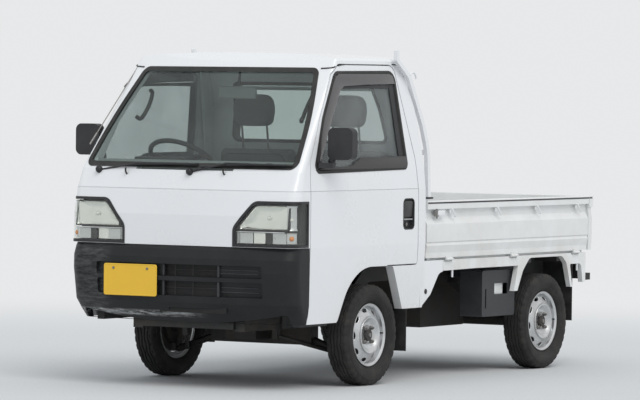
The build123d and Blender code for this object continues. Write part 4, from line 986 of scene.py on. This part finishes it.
CUSHION = [(-0.905, 0.676, 0.020), (-0.905, 0.812, 0.045), (-0.484, 0.798, 0.030), (-0.484, 0.676, 0.020)]
BACK = [(-0.474, 0.700, 0.020), (-0.462, 0.830, 0.060), (-0.420, 1.234, 0.034), (-0.334, 1.234, 0.034),
        (-0.326, 1.100, 0.050), (-0.360, 0.700, 0.020)]
HEAD = [(-0.112, 1.352, 0.040), (0.112, 1.352, 0.040), (0.126, 1.440, 0.060), (0.112, 1.522, 0.052),
        (-0.112, 1.522, 0.052), (-0.126, 1.440, 0.060)]
SEAT_X, CUSHION_HALF, BACK_HALF = 0.290, 0.232, 0.228
for label, x in (("left", SEAT_X), ("right", -SEAT_X)):
    cushion = slab(rounded(CUSHION), "x", x - CUSHION_HALF, x + CUSHION_HALF)
    base = stuffed("seat_cushion_" + label, cushion, swell=0.007)
    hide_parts("seats")
    squab = slab(rounded(BACK), "x", x - BACK_HALF, x + BACK_HALF)
    back = stuffed("seat_back_" + label, squab, swell=0.007)
    head = slab(rounded([(x + u, v, radius) for u, v, radius in HEAD]), "y", -0.462, -0.394)
    stuffed("head_rest_" + label, head, swell=0.005)
    for side in (-0.080, 0.080):
        put("truck", STEEL, pipe([(x + side, -0.402, 1.215), (x + side, -0.428, 1.390)], 0.006, 10))
    for obj, frame_loop, look, lift in (
        (base, oblong(x - 0.205, x + 0.205, -0.875, -0.510, 0.05), "down", 1.2),
        (back, oblong(x - 0.200, x + 0.200, 0.850, 1.200, 0.05), "back", -1.2),
    ):
        tree = BVHTree.FromPolygons([v.co for v in obj.data.vertices],
                                    [p.vertices for p in obj.data.polygons])
        line = []
        for u, v in rounded(frame_loop, 0.0, 8):
            start = Vector((u, v, lift)) if look == "down" else Vector((u, lift, v))
            hit = tree.ray_cast(start, Vector((0, 0, -1)) if look == "down" else Vector((0, 1, 0)))[0]
            if hit:
                line.append(hit)
        put("truck", PIPING, pipe(eased(line, 3, True), 0.0032, 8, closed=True))


# The gathered pieces become objects

for (body, material), group in GROUPS.items():
    mesh = bpy.data.meshes.new(material)
    group.to_mesh(mesh)
    group.free()
    mesh_object(material + "_on_" + body, mesh, bpy.data.materials[material], body)


# Stage: pale floor that fades into the pale surroundings

PALE = (0.80, 0.81, 0.82)
SKY_STRENGTH, SUN_STRENGTH, SUN_ACROSS = 0.78, 1.25, math.radians(38)
FADE_FROM, FADE_TO = 3.5, 9.0
world = bpy.data.worlds.new("surroundings")
bpy.context.scene.world = world
world.use_nodes = True
add, link, calc, _ = tree_tools(world.node_tree)
path = add("ShaderNodeLightPath")
direct = calc("MAXIMUM", (path, "Is Camera Ray"), (path, "Is Transmission Ray"))
mix = add("ShaderNodeMixShader")
link(*calc("MAXIMUM", direct, (path, "Is Glossy Ray")), mix, 0)
link(add("ShaderNodeBackground", Color=(0.93, 0.97, 1.0, 1), Strength=SKY_STRENGTH), "Background", mix, 1)
link(add("ShaderNodeBackground", Color=(*PALE, 1)), "Background", mix, 2)
link(mix, "Shader", add("ShaderNodeOutputWorld"), "Surface")

ground, add, link, _, stretch = node_tree("ground")
place = add("ShaderNodeNewGeometry")
flat = add("ShaderNodeVectorMath", p_operation="MULTIPLY")
flat.inputs[1].default_value = (1, 1, 0)
link(place, "Position", flat, 0)
away = add("ShaderNodeVectorMath", p_operation="LENGTH")
link(flat, "Vector", away, 0)
fade = stretch((away, "Value"), p_interpolation_type="SMOOTHSTEP", From_Min=FADE_FROM, From_Max=FADE_TO)
speck = noise(add, link, place, Scale=55.0, Detail=5.0)
tone = ramp(add, link, (speck, "Fac"), 0.3, 0.8, ((0.60, 0.61, 0.62), (0.66, 0.67, 0.68)))
matte = add("ShaderNodeBsdfDiffuse")
link(*tone, matte, "Color")
blend = add("ShaderNodeMixShader")
link(*fade, blend, "Fac")
link(matte, "BSDF", blend, 1)
link(add("ShaderNodeEmission", Color=(*PALE, 1)), "Emission", blend, 2)
link(blend, "Shader", add("ShaderNodeOutputMaterial"), "Surface")
bpy.ops.mesh.primitive_circle_add(vertices=96, radius=400, fill_type="TRIFAN", location=(0, 0, 0))
floor = bpy.context.object
floor.name = "floor"
floor.data.materials.append(ground)

sun = bpy.data.lights.new("soft_key", "SUN")
sun.energy = SUN_STRENGTH
sun.angle = SUN_ACROSS
sun.color = (1.0, 0.985, 0.96)
key = bpy.data.objects.new("soft_key", sun)
key.rotation_euler = Vector((-0.62, 0.42, -0.9)).to_track_quat("-Z", "Y").to_euler()
bpy.context.scene.collection.objects.link(key)


# Camera: solved on the photo

YAW, PITCH, ROLL = math.radians(31.44), math.radians(-1.52), math.radians(0.65)
CAMERA_PLACE, FOCAL_MM = (12.77594, -21.11092, 1.58459), 253.59
ahead = Vector((-math.sin(YAW) * math.cos(PITCH), math.cos(YAW) * math.cos(PITCH), math.sin(PITCH)))
right = Vector((math.cos(YAW), math.sin(YAW), 0))
up = right.cross(ahead)
turned_right = right * math.cos(ROLL) + up * math.sin(ROLL)
turned_up = up * math.cos(ROLL) - right * math.sin(ROLL)
lens = bpy.data.cameras.new("camera")
lens.sensor_width = 36
lens.lens = FOCAL_MM
lens.shift_x = 0.00117
lens.shift_y = 0.0051
lens.clip_end = 600
camera = bpy.data.objects.new("camera", lens)
turn = Matrix((turned_right, turned_up, -ahead)).transposed()
camera.matrix_world = Matrix.Translation(CAMERA_PLACE) @ turn.to_4x4()
bpy.context.scene.collection.objects.link(camera)
bpy.context.scene.camera = camera
bpy.context.scene.view_settings.view_transform = "Standard"
